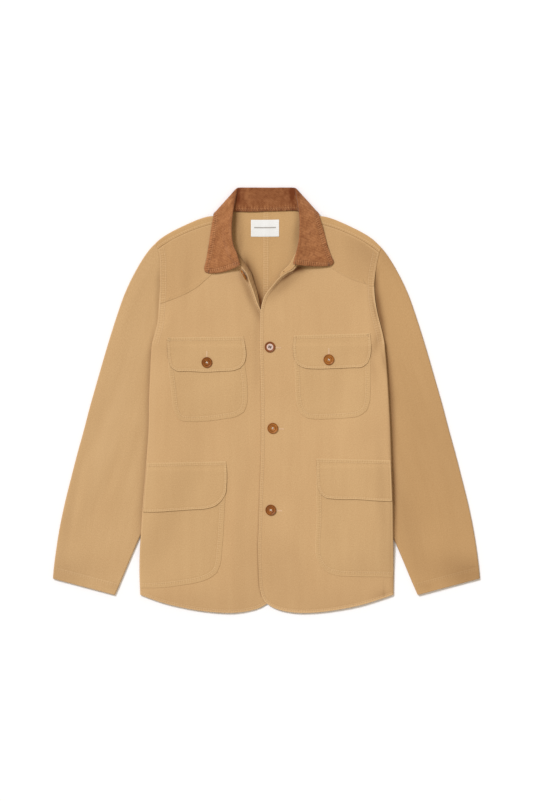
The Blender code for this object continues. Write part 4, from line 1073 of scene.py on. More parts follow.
def seam_effect() -> NodeTree:
    """Topstitched seam: the pale row and the small puckers across it as painted highlights, the hollow on
    both its sides as painted shade, and the heights of all three for the bump.
    """
    inputs = {"Seam": None, "Near": 0.0, "Pitch": 5.0, "Reach": 4.0, "Stroke": 0.5}
    group, wire, given, out = Effect("stitched_seam", inputs, ("Height", "Groove", "Ridge")).start()
    seam, near, pitch, reach, strength = (given[label] for label in inputs)
    along, across, half = wire.parts(seam)
    single = wire.math("LESS_THAN", half, 0.5)
    off = wire.math("SUBTRACT", wire.math("ABSOLUTE", across), half)
    row, beside = fall_off(wire, off, 0.9), fall_off(wire, off, 2.1)
    centre = wire.math("SUBTRACT", across, wire.scale(single, 2.8))
    band = fall_off(wire, centre, wire.math("ADD", half, wire.scale(single, reach)))
    jitter = wire.scale(wire.noise(seam, 0.11, 2.0), 9.0)
    phase = wire.scale(along, wire.math("DIVIDE", 2 * math.pi, pitch))
    tick = wire.scale(wire.math("SINE", wire.math("ADD", phase, jitter)), 0.5, 0.5)
    uneven = wire.scale(wire.noise(seam, 0.3, 2.0), 1.2, 0.3)
    bead = wire.scale(wire.scale(row, wire.scale(tick, 0.6, 0.4)), near)
    stroke = wire.scale(wire.scale(wire.scale(band, tick), wire.scale(uneven, near)), strength)
    between = wire.scale(wire.scale(band, wire.math("SUBTRACT", 1.0, tick)), uneven)
    flank = wire.scale(beside, wire.math("SUBTRACT", 1.0, row), wire.scale(between, strength))
    groove = wire.scale(flank, near)
    rise = wire.scale(stroke, 0.35, wire.scale(bead, 0.22))
    wire.fill(out, {
        "Groove": groove, "Ridge": wire.math("ADD", stroke, bead), "Height": wire.scale(groove, -0.20, rise)})
    return group


class Effects:
    """The shared effects, each built once."""

    made: dict[str, NodeTree] = {}
    makers = {"weave": weave_effect, "tone": tone_effect, "seam": seam_effect}

    @classmethod
    def place(cls, wire: Wiring, key: str, **values: object) -> Node:
        """Puts one of the groups into a material and sets its inputs."""
        if key not in cls.made:
            cls.made[key] = cls.makers[key]()
        node = wire.node("ShaderNodeGroup", node_tree=cls.made[key])
        wire.fill(node, values)
        return node


Colour = tuple[float, float, float, float]


def srgb(red: int, green: int, blue: int) -> Colour:
    """A linear colour from the three numbers a screen shows."""
    parts = []
    for value in (red, green, blue):
        share = value / 255.0
        parts.append(share / 12.92 if share <= 0.04045 else ((share + 0.055) / 1.055) ** 2.4)
    return (parts[0], parts[1], parts[2], 1.0)


def tones(*colours: tuple[int, int, int]) -> list[Colour]:
    """Linear colours from several screen colours."""
    return [srgb(*colour) for colour in colours]


class Finish:
    """A material that is made once and then shared."""

    name: str
    shared: dict[str, Material] = {}

    def material(self) -> Material:
        """The material, made on first use."""
        if self.name not in Finish.shared:
            made = bpy.data.materials.new(self.name)
            made.use_nodes = True
            wire = Wiring(made.node_tree)
            self.wire(wire, made.node_tree.nodes["Principled BSDF"])
            Finish.shared[self.name] = made
        return Finish.shared[self.name]

    def wire(self, wire: Wiring, shader: Node) -> None:
        """Fills the material's tree."""
        raise NotImplementedError


@dataclass(frozen=True)
class Canvas(Finish):
    """Dyed cotton canvas with topstitched seams."""

    name: str
    light: Colour
    dark: Colour
    groove: Colour
    ridge: Colour
    shade: Colour = srgb(92, 48, 6)
    pitch: float = 0.9
    weave_height: float = 0.07
    groove_mix: float = 0.2
    ridge_mix: float = 0.75
    tick_pitch: float = 4.4
    tick_reach: float = 2.6
    tick_mix: float = 0.55
    slant: float = 1.0
    tick_height: float = 1.0
    roughness: float = 0.9
    sheen: float = 0.15
    tone_contrast: float = 2.1
    wear: float = 0.0

    def wire(self, wire: Wiring, shader: Node) -> None:
        """Weave, uneven dye, grooves and puckers, with painted shade and painted highlights."""
        weave_at, seam_at = wire.read("weave", "Vector"), wire.read("seam", "Vector")
        near, painted_shade_and_tone = wire.read("near", "Fac"), wire.read("painted_shade_and_tone", "Fac")
        weave = Effects.place(wire, "weave", Vector=weave_at, Pitch=self.pitch, Slant=self.slant).outputs
        tone = Effects.place(wire, "tone", Vector=weave_at).outputs
        ticks = {"Pitch": self.tick_pitch, "Reach": self.tick_reach, "Stroke": self.tick_mix}
        seam = Effects.place(wire, "seam", Seam=seam_at, Near=near, **ticks).outputs
        mixed = wire.scale(weave["Light"], 0.45, wire.scale(tone["Tone"], 0.55))
        spread = wire.scale(wire.math("SUBTRACT", mixed, 0.5), 2.2 * self.tone_contrast, 0.5)
        colour = wire.mix(spread, self.dark, self.light)
        if self.wear:
            rubbed = wire.scale(wire.noise(weave_at, 0.055, 3.0), 5.0, -2.4)
            colour = wire.mix(wire.scale(rubbed, self.wear), colour, self.ridge)
            specks = wire.scale(wire.noise(weave_at, 0.21, 2.0), 6.0, -3.1)
            colour = wire.mix(wire.scale(specks, self.wear), colour, self.groove)
        # Painted shade in the seam hollows and painted highlights on the rows and puckers; then the point's
        # painted shade, and its painted highlight in the ridge colour where the mark is negative.
        colour = wire.mix(wire.scale(seam["Groove"], self.groove_mix), colour, self.groove)
        colour = wire.mix(wire.scale(seam["Ridge"], self.ridge_mix), colour, self.ridge)
        colour = wire.mix(painted_shade_and_tone, colour, self.shade)
        height = wire.scale(seam["Height"], self.tick_height, wire.scale(weave["Height"], self.weave_height))
        height = wire.scale(wire.noise(weave_at, 0.25, 3.0), 0.12, height)
        wire.fill(shader, {
            "Base Color": wire.mix(wire.scale(painted_shade_and_tone, -1.0), colour, self.ridge), "Roughness": self.roughness,
            "Specular IOR Level": 0.2, "Sheen Weight": self.sheen, "Sheen Roughness": 0.5,
            "Normal": wire.bump(height, MM),
        })


@dataclass(frozen=True)
class Thread(Finish):
    """Matt cotton thread with a twisted grain."""

    name: str
    light: Colour
    dark: Colour

    def wire(self, wire: Wiring, shader: Node) -> None:
        """A fine grain over the thread's colour."""
        grain = wire.noise(wire.node("ShaderNodeTexCoord").outputs["Object"], 900.0, 2.0)
        wire.fill(shader, {
            "Base Color": wire.mix(grain, self.dark, self.light), "Roughness": 0.75, "Sheen Weight": 0.1,
            "Normal": wire.bump(grain, 0.0001),
        })


@dataclass(frozen=True)
class Horn(Finish):
    """Polished mottled button."""

    name: str
    light: Colour
    dark: Colour
    middle: Colour
    reach: float = 2.4
    roughness: float = 0.38

    def wire(self, wire: Wiring, shader: Node) -> None:
        """Cloudy streaks and turned rings under a satin polish, and the tone of the middle."""
        place = wire.node("ShaderNodeTexCoord").outputs["Object"]
        ring = wire.read("ring", "Fac")
        cloud, streak = wire.noise(place, 210.0, 4.0), wire.noise(place, 900.0, 2.0)
        turned = wire.math("SINE", wire.scale(ring, 1.75, 1.1))
        mixed = wire.scale(turned, 0.3, wire.scale(cloud, 1.3, wire.scale(streak, 0.2, -0.25)))
        inner = wire.scale(wire.math("SUBTRACT", self.reach, ring), 3.0, 0.5)
        wire.fill(shader, {
            "Base Color": wire.mix(inner, wire.mix(mixed, self.dark, self.light), self.middle),
            "Roughness": wire.scale(streak, 0.12, self.roughness), "Specular IOR Level": 0.25,
            "Coat Weight": 0.05, "Coat Roughness": 0.2,
        })


# Each canvas: its light and dark yarns, the painted shade of its seam hollows, and the painted highlight of
# its stitch rows, puckers and rims; the cord's dark specks and rubbed patches take the same two colours.
BODY_CANVAS = Canvas("canvas_body", *tones((205, 169, 121), (191, 153, 107), (164, 124, 78), (211, 176, 130)))
PATCH_CANVAS = Canvas(
    "canvas_patch", *tones((203, 168, 120), (189, 152, 106), (163, 124, 77), (210, 176, 129)))
YOKE_CANVAS = Canvas("canvas_yoke", *tones((200, 163, 115), (185, 147, 101), (161, 120, 75), (208, 173, 126)))
INNER_CANVAS = Canvas(
    "canvas_inner", *tones((202, 164, 114), (187, 148, 99), (162, 122, 75), (211, 175, 129)))
# A shaded copy of the sleeve canvas: the wearer's left sleeve is painted darker than the right one to stand
# for the light falling off across the jacket.
SHADED_SLEEVE_LEFT_CANVAS = Canvas(
    "canvas_sleeve_left_shaded", *tones((197, 159, 110), (183, 144, 96), (158, 117, 71), (201, 165, 117)))
SLEEVE_RIGHT_CANVAS = Canvas(
    "canvas_sleeve_right", *tones((204, 169, 122), (187, 150, 104), (162, 123, 77), (210, 176, 130)))
CORD = Canvas(
    "collar_cord", *tones((176, 119, 74), (147, 93, 54), (111, 63, 33), (191, 132, 86), (104, 48, 15)),
    pitch=3.0, slant=0.0, weave_height=0.3, groove_mix=0.5, ridge_mix=0.7, tick_pitch=4.0, tick_reach=4.2,
    tick_mix=0.9, tick_height=1.6, roughness=0.95, sheen=0.2, tone_contrast=4.6, wear=0.4,
)
LABEL_WEAVE = Canvas(
    "label_weave", *tones((235, 236, 233), (227, 228, 224), (207, 208, 202), (243, 244, 241)),
    pitch=0.5, weave_height=0.03, tick_height=0.2,
)
BAR_WEAVE = Canvas(
    "label_bar", *tones((178, 174, 168), (158, 154, 148), (150, 148, 144), (180, 178, 174)),
    pitch=0.5, weave_height=0.03, tick_height=0.2,
)
THREAD = Thread("topstitch_thread", *tones((222, 187, 141), (202, 164, 118)))
PALE_THREAD = Thread("buttonhole_thread", *tones((232, 200, 166), (210, 176, 140)))
BUTTON_THREAD = Thread("button_thread", *tones((255, 248, 230), (240, 224, 198)))
DARK_THREAD = Thread("button_thread_dark", *tones((84, 54, 36), (60, 36, 22)))
HORN = Horn("button_brown", *tones((160, 94, 28), (92, 44, 6), (104, 54, 12)))
FAIR_HORN = Horn("button_fair", *tones((180, 114, 44), (110, 58, 14), (120, 66, 20)))
PALE_HORN = Horn("button_pale", *tones((152, 88, 40), (106, 56, 22), (214, 190, 178)), 6.2)


def round_edge(away: Array, radius: float, low: float = 0.3) -> Array:
    """Share of a wall's thickness that stands at a rounded edge, against the distance from it."""
    d = np.clip(np.asarray(away) / radius, 0.0, 1.0)
    return low + (1.0 - low) * np.sqrt(1.0 - (1.0 - d) ** 2)


def shares_of(width: float, near: Table, far: Table, step: float, count: int = 0) -> Array:
    """Shares across a width: set distances from each end, and even steps between.

    Args:
        width: the whole width.
        near: distances of the first stations from the start.
        far: distances of the last stations from the end.
        step: the spacing between.
        count: how many even stations, or 0 to work it out from the step.

    Returns:
        The shares from 0 to 1.
    """
    a, b = near[-1], width - far[-1]
    inside = count or max(int((b - a) / step), 2)
    middle = np.linspace(a, b, inside + 2)[1:-1]
    return np.concatenate([near, middle, width - np.array(far[::-1])]) / width


def seam_relief(x: Array, y: Array, seams: tuple[Seam, ...], strength: float = 1.0) -> Array:
    """Height that stitching adds: the cloth sinks at each row and puckers beside it.

    Args:
        x, y: plan places.
        seams: the seams on this piece.
        strength: how strong the puckers are.

    Returns:
        Millimetres to add to the cloth's height.
    """
    total = np.zeros(x.shape)
    for k, seam in enumerate(seams):
        across, along = seam.measured(x, y)
        row, ends = np.abs(np.abs(across) - seam.half), seam.fade(along)
        drift = 2.6 * smooth_noise(along, 0, 21.0, 11 + k)
        uneven = 0.6 + 0.4 * smooth_noise(along, 0, 34.0, 31 + k)
        wave = np.sin(along * 2 * math.pi / PUCKER_WAVE + drift) * uneven
        total += strength * ends * (0.15 * wave * bell(across, 4.5 + seam.half) - 0.14 * bell(row, 1.6))
    return total


@dataclass
class Panels:
    """The two fronts and the two backs, folded together at the side seams."""

    ground: Ground
    wall: float = CLOTH
    rolls: tuple[float, ...] = (0.0, 0.12, 0.35, 0.7, 1.15, 1.7, 2.3)
    rims: tuple[float, ...] = (0.0, 0.2, 0.55, 1.1, 2.2)
    centre_seam: float = -4.9
    fell: float = 8.4
    lap: float = 0.35
    wrap_end: float = 84.0
    slide_start: float = 120.0
    overrun: float = 0.25

    def side_line(self, side: Side, end: tuple[float, float]) -> list[tuple[float, float]]:
        """Side seam then armhole, hem to shoulder."""
        return side.line(SIDE + ARMHOLE[1:]) + [end]

    def front_lines(self, side: Side) -> dict[str, Table]:
        """The four boundary lines of a front."""
        s = side.value
        edge = [r[:2] for r in side.pick(EDGE_RIGHT, EDGE_LEFT)]
        end = (SEAM_END[s][0], SEAM_END[s][1] - 2 * SEAM_GAP)
        seam = [(s * r[0], r[2] - 2 * SEAM_GAP) for r in SHOULDER[1:-1]]
        return {
            "hem": side.pick(HEM_RIGHT, HEM_LEFT),
            "side": self.side_line(side, end),
            "top": [end] + seam + [edge[-1]],
            "edge": edge,
        }

    def front_seams(self, side: Side) -> tuple[Seam, ...]:
        """Topstitching of a front: one row round its hem and edge, and twin rows by the armhole."""
        s = side.value
        edge = [r[:2] for r in side.pick(EDGE_RIGHT, EDGE_LEFT)]
        run = [*side.pick(HEM_RIGHT, HEM_LEFT), *edge[1:17]]
        return Seam.along(run, offset=-s * 5.0), Seam.armhole(side)

    def grid(self, lines: dict[str, Table], step: float) -> tuple[Array, Array, Array, Array]:
        """Plan of a body panel.

        Args:
            lines: its boundary lines.
            step: spacing of the points.

        Returns:
            Plan points, distance from the side line, distance from the other borders, and how far each
            row folds at the side.
        """
        long = length_of(curve(lines["side"], np.linspace(0, 1, 60)))
        v = shares_of(long, self.rims, self.rims, step)
        start, end = curve(lines["side"], v), curve(lines["edge"], v)
        width = norm(end - start, axis=1)
        count = int((width.max() - 5.0) / step)
        u = np.array([shares_of(w, self.rolls, self.rims, step, count) for w in width])
        plan = coons(lines, u, v)
        rim = np.minimum((1 - u) * width[:, None], np.minimum(v, 1 - v)[:, None] * long)
        fold = 1.0 - ease((start[:, 1] - 92.0) / 14.0)
        return plan, u * width[:, None], rim, fold[:, None]

    def folded(
        self, plan: Array, skins: tuple[Array, Array], middle: Array, away: Array, fold: Array, side: Side
    ) -> tuple[Array, Array]:
        """Rounds both skins over to the middle of the side.

        Args:
            plan: plan points.
            skins: heights of the outer and the inner skin.
            middle: height that the side seam lies at.
            away: distance from the side line.
            fold: share of folding of each row.
            side: which half.

        Returns:
            Points of the outer and of the inner skin.
        """
        radius = self.rolls[-1]
        rolled = 1.0 - fold * (1.0 - round_edge(away, radius, 0.0))
        shift = fold * self.wall * np.clip(1.0 - away / radius, 0.0, 1.0)
        outer = np.dstack([plan, middle + (skins[0] - middle) * rolled])
        inner = np.dstack([plan, middle + (skins[1] - middle) * rolled])
        inner[..., 0] -= side.value * shift
        return outer, inner

    def front(self, side: Side) -> Cloth:
        """One front, folded down at the side seam and raised at the opening."""
        plan, away, rim, fold = self.grid(self.front_lines(side), GRID)
        x, y = plan[..., 0], plan[..., 1]
        seams = self.front_seams(side)
        band = seams[0].hem_band(x, y, side.value, 9.0)
        top = self.ground.crown(x, y, side) + seam_relief(x, y, seams) + 0.35 * band
        half = self.wall / 2 * round_edge(np.minimum(rim, away + fold * FAR), 1.0)
        skins = (top - self.wall / 2 + half, top - self.wall / 2 - half)
        middle = self.ground.base(x, y) + (BODY_DEPTH + SEAM_GAP) / 2
        outer, inner = self.folded(plan, skins, middle, away, fold, side)
        # Painted highlight along the free edge and rims, strongest where the edge is raised; on the right
        # front, painted shadow beside the edge of the left front that laps over it.
        raised = np.maximum(ease((y - 160.0) / 25.0), side.pick(0.0, 0.6))
        painted_shade_and_tone = -(0.5 + 0.45 * raised) * bell(np.minimum(rim, away + fold * FAR), 1.3 + 1.1 * raised)
        if side is Side.RIGHT:
            lapped, _ = Seam.along([*HEM_LEFT[-3:], *(r[:2] for r in EDGE_LEFT[1:13])]).measured(x, y)
            share = np.interp(y, (-400, -230, -120, 20, 90), (0.34, 0.30, 0.12, 0.14, 0.0))
            painted_shade_and_tone = painted_shade_and_tone + share * bell(lapped - 0.3, 1.7)
        return Cloth(f"front_{side.word}_canvas", outer, inner, seams, painted_shade_and_tone, PAINTED_SHADES[f"front_{side.word}"])

    def back(self, side: Side) -> Cloth:
        """One back, folded up at the side seam and over the shoulder to the front."""
        s = side.value
        centre = self.centre_seam - s * self.lap
        hem = [side.pick(HEM_RIGHT, HEM_LEFT)[0]] + [(s * abs(p[0]), p[1]) for p in HEM_BACK[1:-1]]
        hem.append((centre, HEM_BACK[-1][1]))
        neck = [(s * p[0], p[1]) for p in NECK_BACK[1:-1]] + [(centre, NECK_BACK[-1][1])]
        lines = {
            "hem": hem,
            "side": self.side_line(side, SEAM_END[s]) + [RIDGE_END[s]],
            "top": [RIDGE_END[s]] + [(s * r[0], r[1]) for r in SHOULDER] + neck,
            "edge": [hem[-1], (centre, 0.0), neck[-1]],
        }
        plan, away, rim, fold = self.grid(lines, GRID * 1.5)
        x, y = plan[..., 0], plan[..., 1]
        middle = self.centre_seam + self.fell / 2
        shoulder = [SEAM_END[s]] + [(s * r[0], r[2]) for r in SHOULDER]
        seams = (
            Seam.along([(middle, -384.0), (middle, 356.0)], half=self.fell / 2 - 0.6),
            Seam.along(shoulder, offset=-s * 3.6),
        )
        low = self.ground.base(x, y)
        away_from = x - self.centre_seam
        fell = 0.45 * ease((away_from + 1.0) / 1.5) * (1.0 - ease((away_from - self.fell - 1.0) / 1.6))
        lift = seam_relief(x, y, seams[:1], 0.7) + 0.14 * smooth_noise(x, y, 30.0, 9) + fell
        thin = self.wall / 2 * (1.0 - round_edge(np.minimum(rim, away + fold * FAR), 1.0))
        skins = (low + thin, low + self.wall + lift - thin)
        middle = low + (BODY_DEPTH - SEAM_GAP) / 2
        outer, inner = self.folded(plan, skins, middle, away, fold, side)
        return self.with_shoulder(side, outer, inner, plan, seams)

    def with_shoulder(
        self, side: Side, outer: Array, inner: Array, plan: Array, seams: tuple[Seam, ...]
    ) -> Cloth:
        """Carries a back's top edge over the shoulder ridge to the seam on the front.

        Args:
            side: which half.
            outer, inner: points of the back's skins, row by row.
            plan: their plan.
            seams: the back's own seams.

        Returns:
            The whole back.
        """
        s, radius = side.value, BODY_DEPTH / 2
        ridge = plan[-1]
        wrapped = int(np.sum(np.abs(ridge[:, 0]) > self.wrap_end))
        ridge = ridge[:wrapped]
        table = np.array([(abs(SEAM_END[s][0]), 0.0, SEAM_END[s][1])] + list(SHOULDER))[::-1]
        past = np.abs(ridge[:, 0]) - self.slide_start
        slide = np.clip(past / (abs(SEAM_END[s][0]) - self.slide_start), 0, 1) ** 3
        seam_x = ridge[:, 0] - s * (abs(RIDGE_END[s][0]) - abs(SEAM_END[s][0])) * slide
        seam_y = np.interp(np.abs(seam_x), table[:, 0], table[:, 2])
        low = self.ground.base(ridge[:, 0], ridge[:, 1])
        start = np.column_stack([ridge[:, 0], ridge[:, 1] - radius])
        high = self.ground.crown(start[:, 0], start[:, 1], side)
        skins = []
        for points, inset in ((outer, 0.0), (inner, self.wall)):
            points = points.copy()
            points[-1, :wrapped, 1] -= radius
            points[-1, :wrapped, 2] = low + inset
            rows = []
            for turn in np.radians(np.linspace(-90, 90, 11)[1:]):
                flat, tall = radius - inset, (high - low) / 2 - inset
                y, z = start[:, 1] + flat * math.cos(turn), (high + low) / 2 + tall * math.sin(turn)
                rows.append(np.column_stack([ridge[:, 0], y, z]))
            for share in np.concatenate([np.linspace(0, 1, 9)[1:], [1.0 + self.overrun]]):
                p = start * (1 - share) + np.column_stack([seam_x, seam_y]) * share
                sunk = 0.1 - 0.5 * max(share - 1.0, 0.0) / self.overrun
                rows.append(np.column_stack([p, self.ground.crown(p[:, 0], p[:, 1], side) + sunk - inset]))
            skins.append(np.concatenate([points.reshape(-1, 3), *rows]))
        count, columns = plan.shape[:2]
        first, last = count * columns, (count - 1) * columns
        j = np.arange(wrapped - 1)
        join = np.stack([last + j, last + j + 1, first + j + 1, first + j], axis=-1)
        skin = np.concatenate([grid_skin(count, columns), join, grid_skin(len(rows), wrapped, first)])
        weave = skins[0][:, :2].copy()
        weave[first:, 1] += 3.0
        painted_shade_and_tone = np.zeros(len(weave))
        # Painted shade on the last rows, where the back's edge tucks under the front at the shoulder seam.
        painted_shade_and_tone[first:].reshape(len(rows), wrapped)[-2:] = 0.3
        return Cloth(f"back_{side.word}_canvas", *skins, seams, painted_shade_and_tone, PAINTED_SHADES["back"], skin, weave)

    def make(self) -> None:
        for side in Side:
            back, front = f"back_{side.word}", f"front_{side.word}"
            under, over = self.back(side), self.front(side)
            size = (0.275, 0.79)
            self.ground.lay(dress(under, INNER_CANVAS, back, size), back)
            self.ground.lay(dress(over, BODY_CANVAS, front, size), front, over.seams)


@dataclass
class Sleeves:
    """The two sleeves, each a flattened tube from the armhole to the cuff."""

    ground: Ground
    wall: float = CLOTH
    step: float = 3.2
    rolls: tuple[float, ...] = (0.0, 0.05, 0.16, 0.32, 0.52, 0.76, 1.0)
    rims: tuple[float, ...] = (2.2, 1.1, 0.5, 0.2, 0.0)
    tuck: float = 3.4
    dip: dict[Side, float] = field(default_factory=lambda: {Side.RIGHT: 1.2, Side.LEFT: 2.0})
    cuff: float = 21.0
    armpit: tuple[float, ...] = (7.0, 13.0, 16.0, 12.0)

    def edges(self, side: Side) -> tuple[list, list, list]:
        """Outer line, tucked line and armhole line of a sleeve."""
        s = side.value
        outer = [(s * abs(p[0]), p[1]) for p in SLEEVE_OUTER]
        inner = [(s * abs(p[0]), p[1]) for p in SLEEVE_INNER]
        if side is Side.LEFT:
            inner[: len(SLEEVE_INNER_LEFT)] = SLEEVE_INNER_LEFT
        for row, pull in enumerate(self.armpit, start=1):
            inner[row] = (inner[row][0] - s * pull, inner[row][1])
        seam = [RIDGE_END[s], SEAM_END[s], *side.line(ARMHOLE[::-1])]
        outer[0], inner[0] = seam[0], seam[-1]
        return outer, inner, seam

    def stations(self, outer: list, inner: list) -> Array:
        """Rows of the ring table, close enough together for the cloth's grid."""
        fine = curve(RINGS, np.linspace(0, 1, 900))
        outs, ins = curve(outer, np.clip(fine[:, 0], 0, 1)), curve(inner, np.clip(fine[:, 1], 0, 1))
        stride = np.maximum(*(norm(np.diff(p, axis=0), axis=1) for p in (outs, ins)))
        at = np.concatenate([[0.0], np.cumsum(stride)])
        even = np.arange(0.0, at[-1] - self.rims[0] - 0.2, self.step)
        places = np.concatenate([even, at[-1] - np.array(self.rims)])
        return np.stack([np.interp(places, at, fine[:, k]) for k in range(5)], axis=-1)

    def tube(self, side: Side) -> Cloth:
        """One sleeve.

        Args:
            side: which arm.

        Returns:
            Its cloth, with the twin creases at its edges rounded and its cuff hemmed.
        """
        s = side.value
        outer, inner, seam = self.edges(side)
        table = self.stations(outer, inner)
        outs, ins = curve(outer, np.clip(table[:, 0], 0, 1)), curve(inner, np.clip(table[:, 1], 0, 1))
        count = int(norm(outs - ins, axis=1).max() / self.step)
        flat = np.linspace(0, 1, count)[1:-1]
        mid = (outs + ins) / 2
        down = running(mid)
        left = down[-1] - down
        cuffs = (Seam.along([tuple(outs[-1]), tuple(ins[-1])], offset=-s * self.cuff),)
        skins, weave = ([], []), []
        for row, (out, tuck, ring) in enumerate(zip(outs, ins, table)):
            _, _, depth, keeps, curves = ring
            width = norm(tuck - out)
            rim = float(round_edge(left[row], 1.0))
            pulled = -s * self.tuck * bell(down[row], 2.0) if row == 0 else 0.0
            for k, inset in enumerate((0.5 * self.wall * (1 - rim), 0.5 * self.wall * (1 + rim))):
                radius = depth / 2 - inset
                near = (inset + np.array(self.rolls) * radius) / width
                shares = np.concatenate([near, near[-1] + (1 - 2 * near[-1]) * flat, 1 - near[::-1]])
                straight = out + shares[:, None] * (tuck - out)
                first = outs[0] + shares[:, None] * (ins[0] - outs[0])
                plan = straight + curves * (curve(seam, shares) - first)
                plan[:, 0] += pulled
                rise = np.concatenate([self.rolls, np.ones(len(flat)), self.rolls[::-1]])
                share = round_edge(rise, 1.0, 0.0)
                middle = keeps * self.ground.base(plan[:, 0], plan[:, 1]) + depth / 2
                relief = self.relief(plan, side, down[row], left[row], cuffs)
                upper = np.column_stack([plan, middle + share * (radius + relief)])
                lower = np.column_stack([plan, middle - share * radius])
                skins[k].append(np.concatenate([upper, lower[-2:0:-1]]))
            across = np.concatenate([shares * width, 2 * width - shares[-2:0:-1] * width])
            weave.append(np.column_stack([across, np.full(len(across), down[row])]))
        points = [np.concatenate(k) for k in skins]
        skin, name = grid_skin(len(outs), len(skins[0][0]), wrap=True), f"sleeve_{side.word}"
        painted_shade_and_tone = self.shadow(points[0], side)
        return Cloth(f"{name}_canvas", *points, cuffs, painted_shade_and_tone, PAINTED_SHADES[name], skin, np.concatenate(weave))

    def relief(self, plan: Array, side: Side, down: float, left: float, cuffs: tuple[Seam, ...]) -> Array:
        """Height to add to the upper side of one ring."""
        x, y = plan[:, 0], plan[:, 1]
        soft = hills(FOLDS, x, y) + 0.25 * smooth_noise(x, y, 52.0, 21) + 0.12 * smooth_noise(x, y, 19.0, 22)
        high = ease((y - 220.0) / 40.0)
        seamward = bell(down, 9.0) * (1 - high) + bell(down, 3.2) * high
        beside = np.abs(x) - self.ground.reach(y, side)
        valley = bell(beside, 9.0) * (1.0 - ease((y - 85.0) / 30.0)) * ease((y + 330.0) / 120.0)
        hem = 0.4 * float(ease((self.cuff - left + 0.8) / 1.6))
        sunk = self.dip[side] * (1 - 0.75 * high) * seamward + 0.8 * self.dip[side] * valley
        return soft * (1 - 0.7 * seamward) - sunk + hem + seam_relief(x, y, cuffs, 0.8)

    def shadow(self, plan: Array, side: Side) -> Array:
        """Share of painted shadow where the sleeve goes down beside and under the body."""
        y = plan[:, 1]
        beside = np.maximum(np.abs(plan[:, 0]) - self.ground.reach(y, side), 0.0)
        if side is Side.RIGHT:
            return 0.2 * bell(beside, 7.0) * (1.0 - ease((y - 225.0) / 40.0)) * ease((y + 330.0) / 150.0)
        share, wide = (np.interp(y, [r[0] for r in PAINTED_SLEEVE_SHADOW], [r[k] for r in PAINTED_SLEEVE_SHADOW]) for k in (1, 2))
        clear = 0.8 - 0.55 * ease((y - 20.0) / 50.0)
        return share * bell(beside - 2.2, wide) * (1.0 - clear * bell(beside, 2.6))

    def make(self) -> None:
        """Builds and dresses both sleeves."""
        for side in Side:
            finish = side.pick(SLEEVE_RIGHT_CANVAS, SHADED_SLEEVE_LEFT_CANVAS)
            dress(self.tube(side), finish, f"sleeve_{side.word}", (0.37, 0.72))


@dataclass
class Patch:
    """A piece of cloth sewn flat on a front."""

    name: str
    side: Side
    lines: dict[str, Table]
    seams: tuple[Seam, ...]
    over: float | None = None
    lift: float = 0.0
    wall: float = 0.9
    soft: float = 0.8
    step: float = 1.9
    rims: tuple[float, ...] = (0.0, 0.15, 0.4, 0.8, 1.5)

    def plan(self) -> tuple[Array, Array, Array]:
        """Plan of the patch.

        Returns:
            Plan points, distance from the nearest border, and distance from the bottom line.
        """
        rows = length_of(curve(self.lines["inner"], np.linspace(0, 1, 40)))
        columns = length_of(curve(self.lines["bottom"], np.linspace(0, 1, 40)))
        u = shares_of(columns, self.rims, self.rims, self.step)
        v = shares_of(rows, self.rims, self.rims, self.step)
        lines = {
            "hem": self.lines["bottom"],
            "top": self.lines["top"],
            "side": self.lines["inner"][::-1],
            "edge": self.lines["outer"][::-1],
        }
        plan = coons(lines, np.tile(u, (len(v), 1)), v)
        across = np.minimum(u, 1 - u)[None, :] * columns
        up = np.minimum(v, 1 - v)[:, None] * rows
        return plan, np.minimum(across, up), np.broadcast_to(v[:, None] * rows, plan.shape[:2])

    def cloth(self, ground: Ground) -> Cloth:
        """The patch lying on its ground."""
        plan, rim, up = self.plan()
        x, y = plan[..., 0], plan[..., 1]
        level = 0.12 + np.zeros(x.shape)
        if self.over is not None:
            level += (self.wall + 0.15) * ease((self.over + 3.0 - y) / 7.0)
        level += self.lift * bell(up, 13.0)
        hem = 0.0
        for seam in self.seams[:1]:
            hem = 0.28 * seam.hem_band(x, y, -self.side.value, 12.0)
        under = ground.laid(x, y, self.side) + level
        top = under + self.wall + seam_relief(x, y, self.seams, 0.9) + hem
        top = top + 0.1 * smooth_noise(x, y, 24.0, 41)
        tall = top - under
        outer, inner = (np.dstack([x, y, z]) for z in (under + tall * round_edge(rim, self.soft, 0.2), under))
        # Painted highlight along the patch's rim; a flap also gets a thin painted shadow at its rim, except
        # along its sewn top.
        painted_shade_and_tone = -0.5 * bell(rim, 1.2)
        if self.over is not None:
            painted_shade_and_tone = -0.5 * bell(rim - 1.4, 1.1) + 0.75 * bell(rim, 0.5) * ease((up[-1:] - up - 2.0) / 4.0)
        return Cloth(f"{self.name}_canvas", outer, inner, self.seams, painted_shade_and_tone, PAINTED_SHADES[f"front_{self.side.word}"])


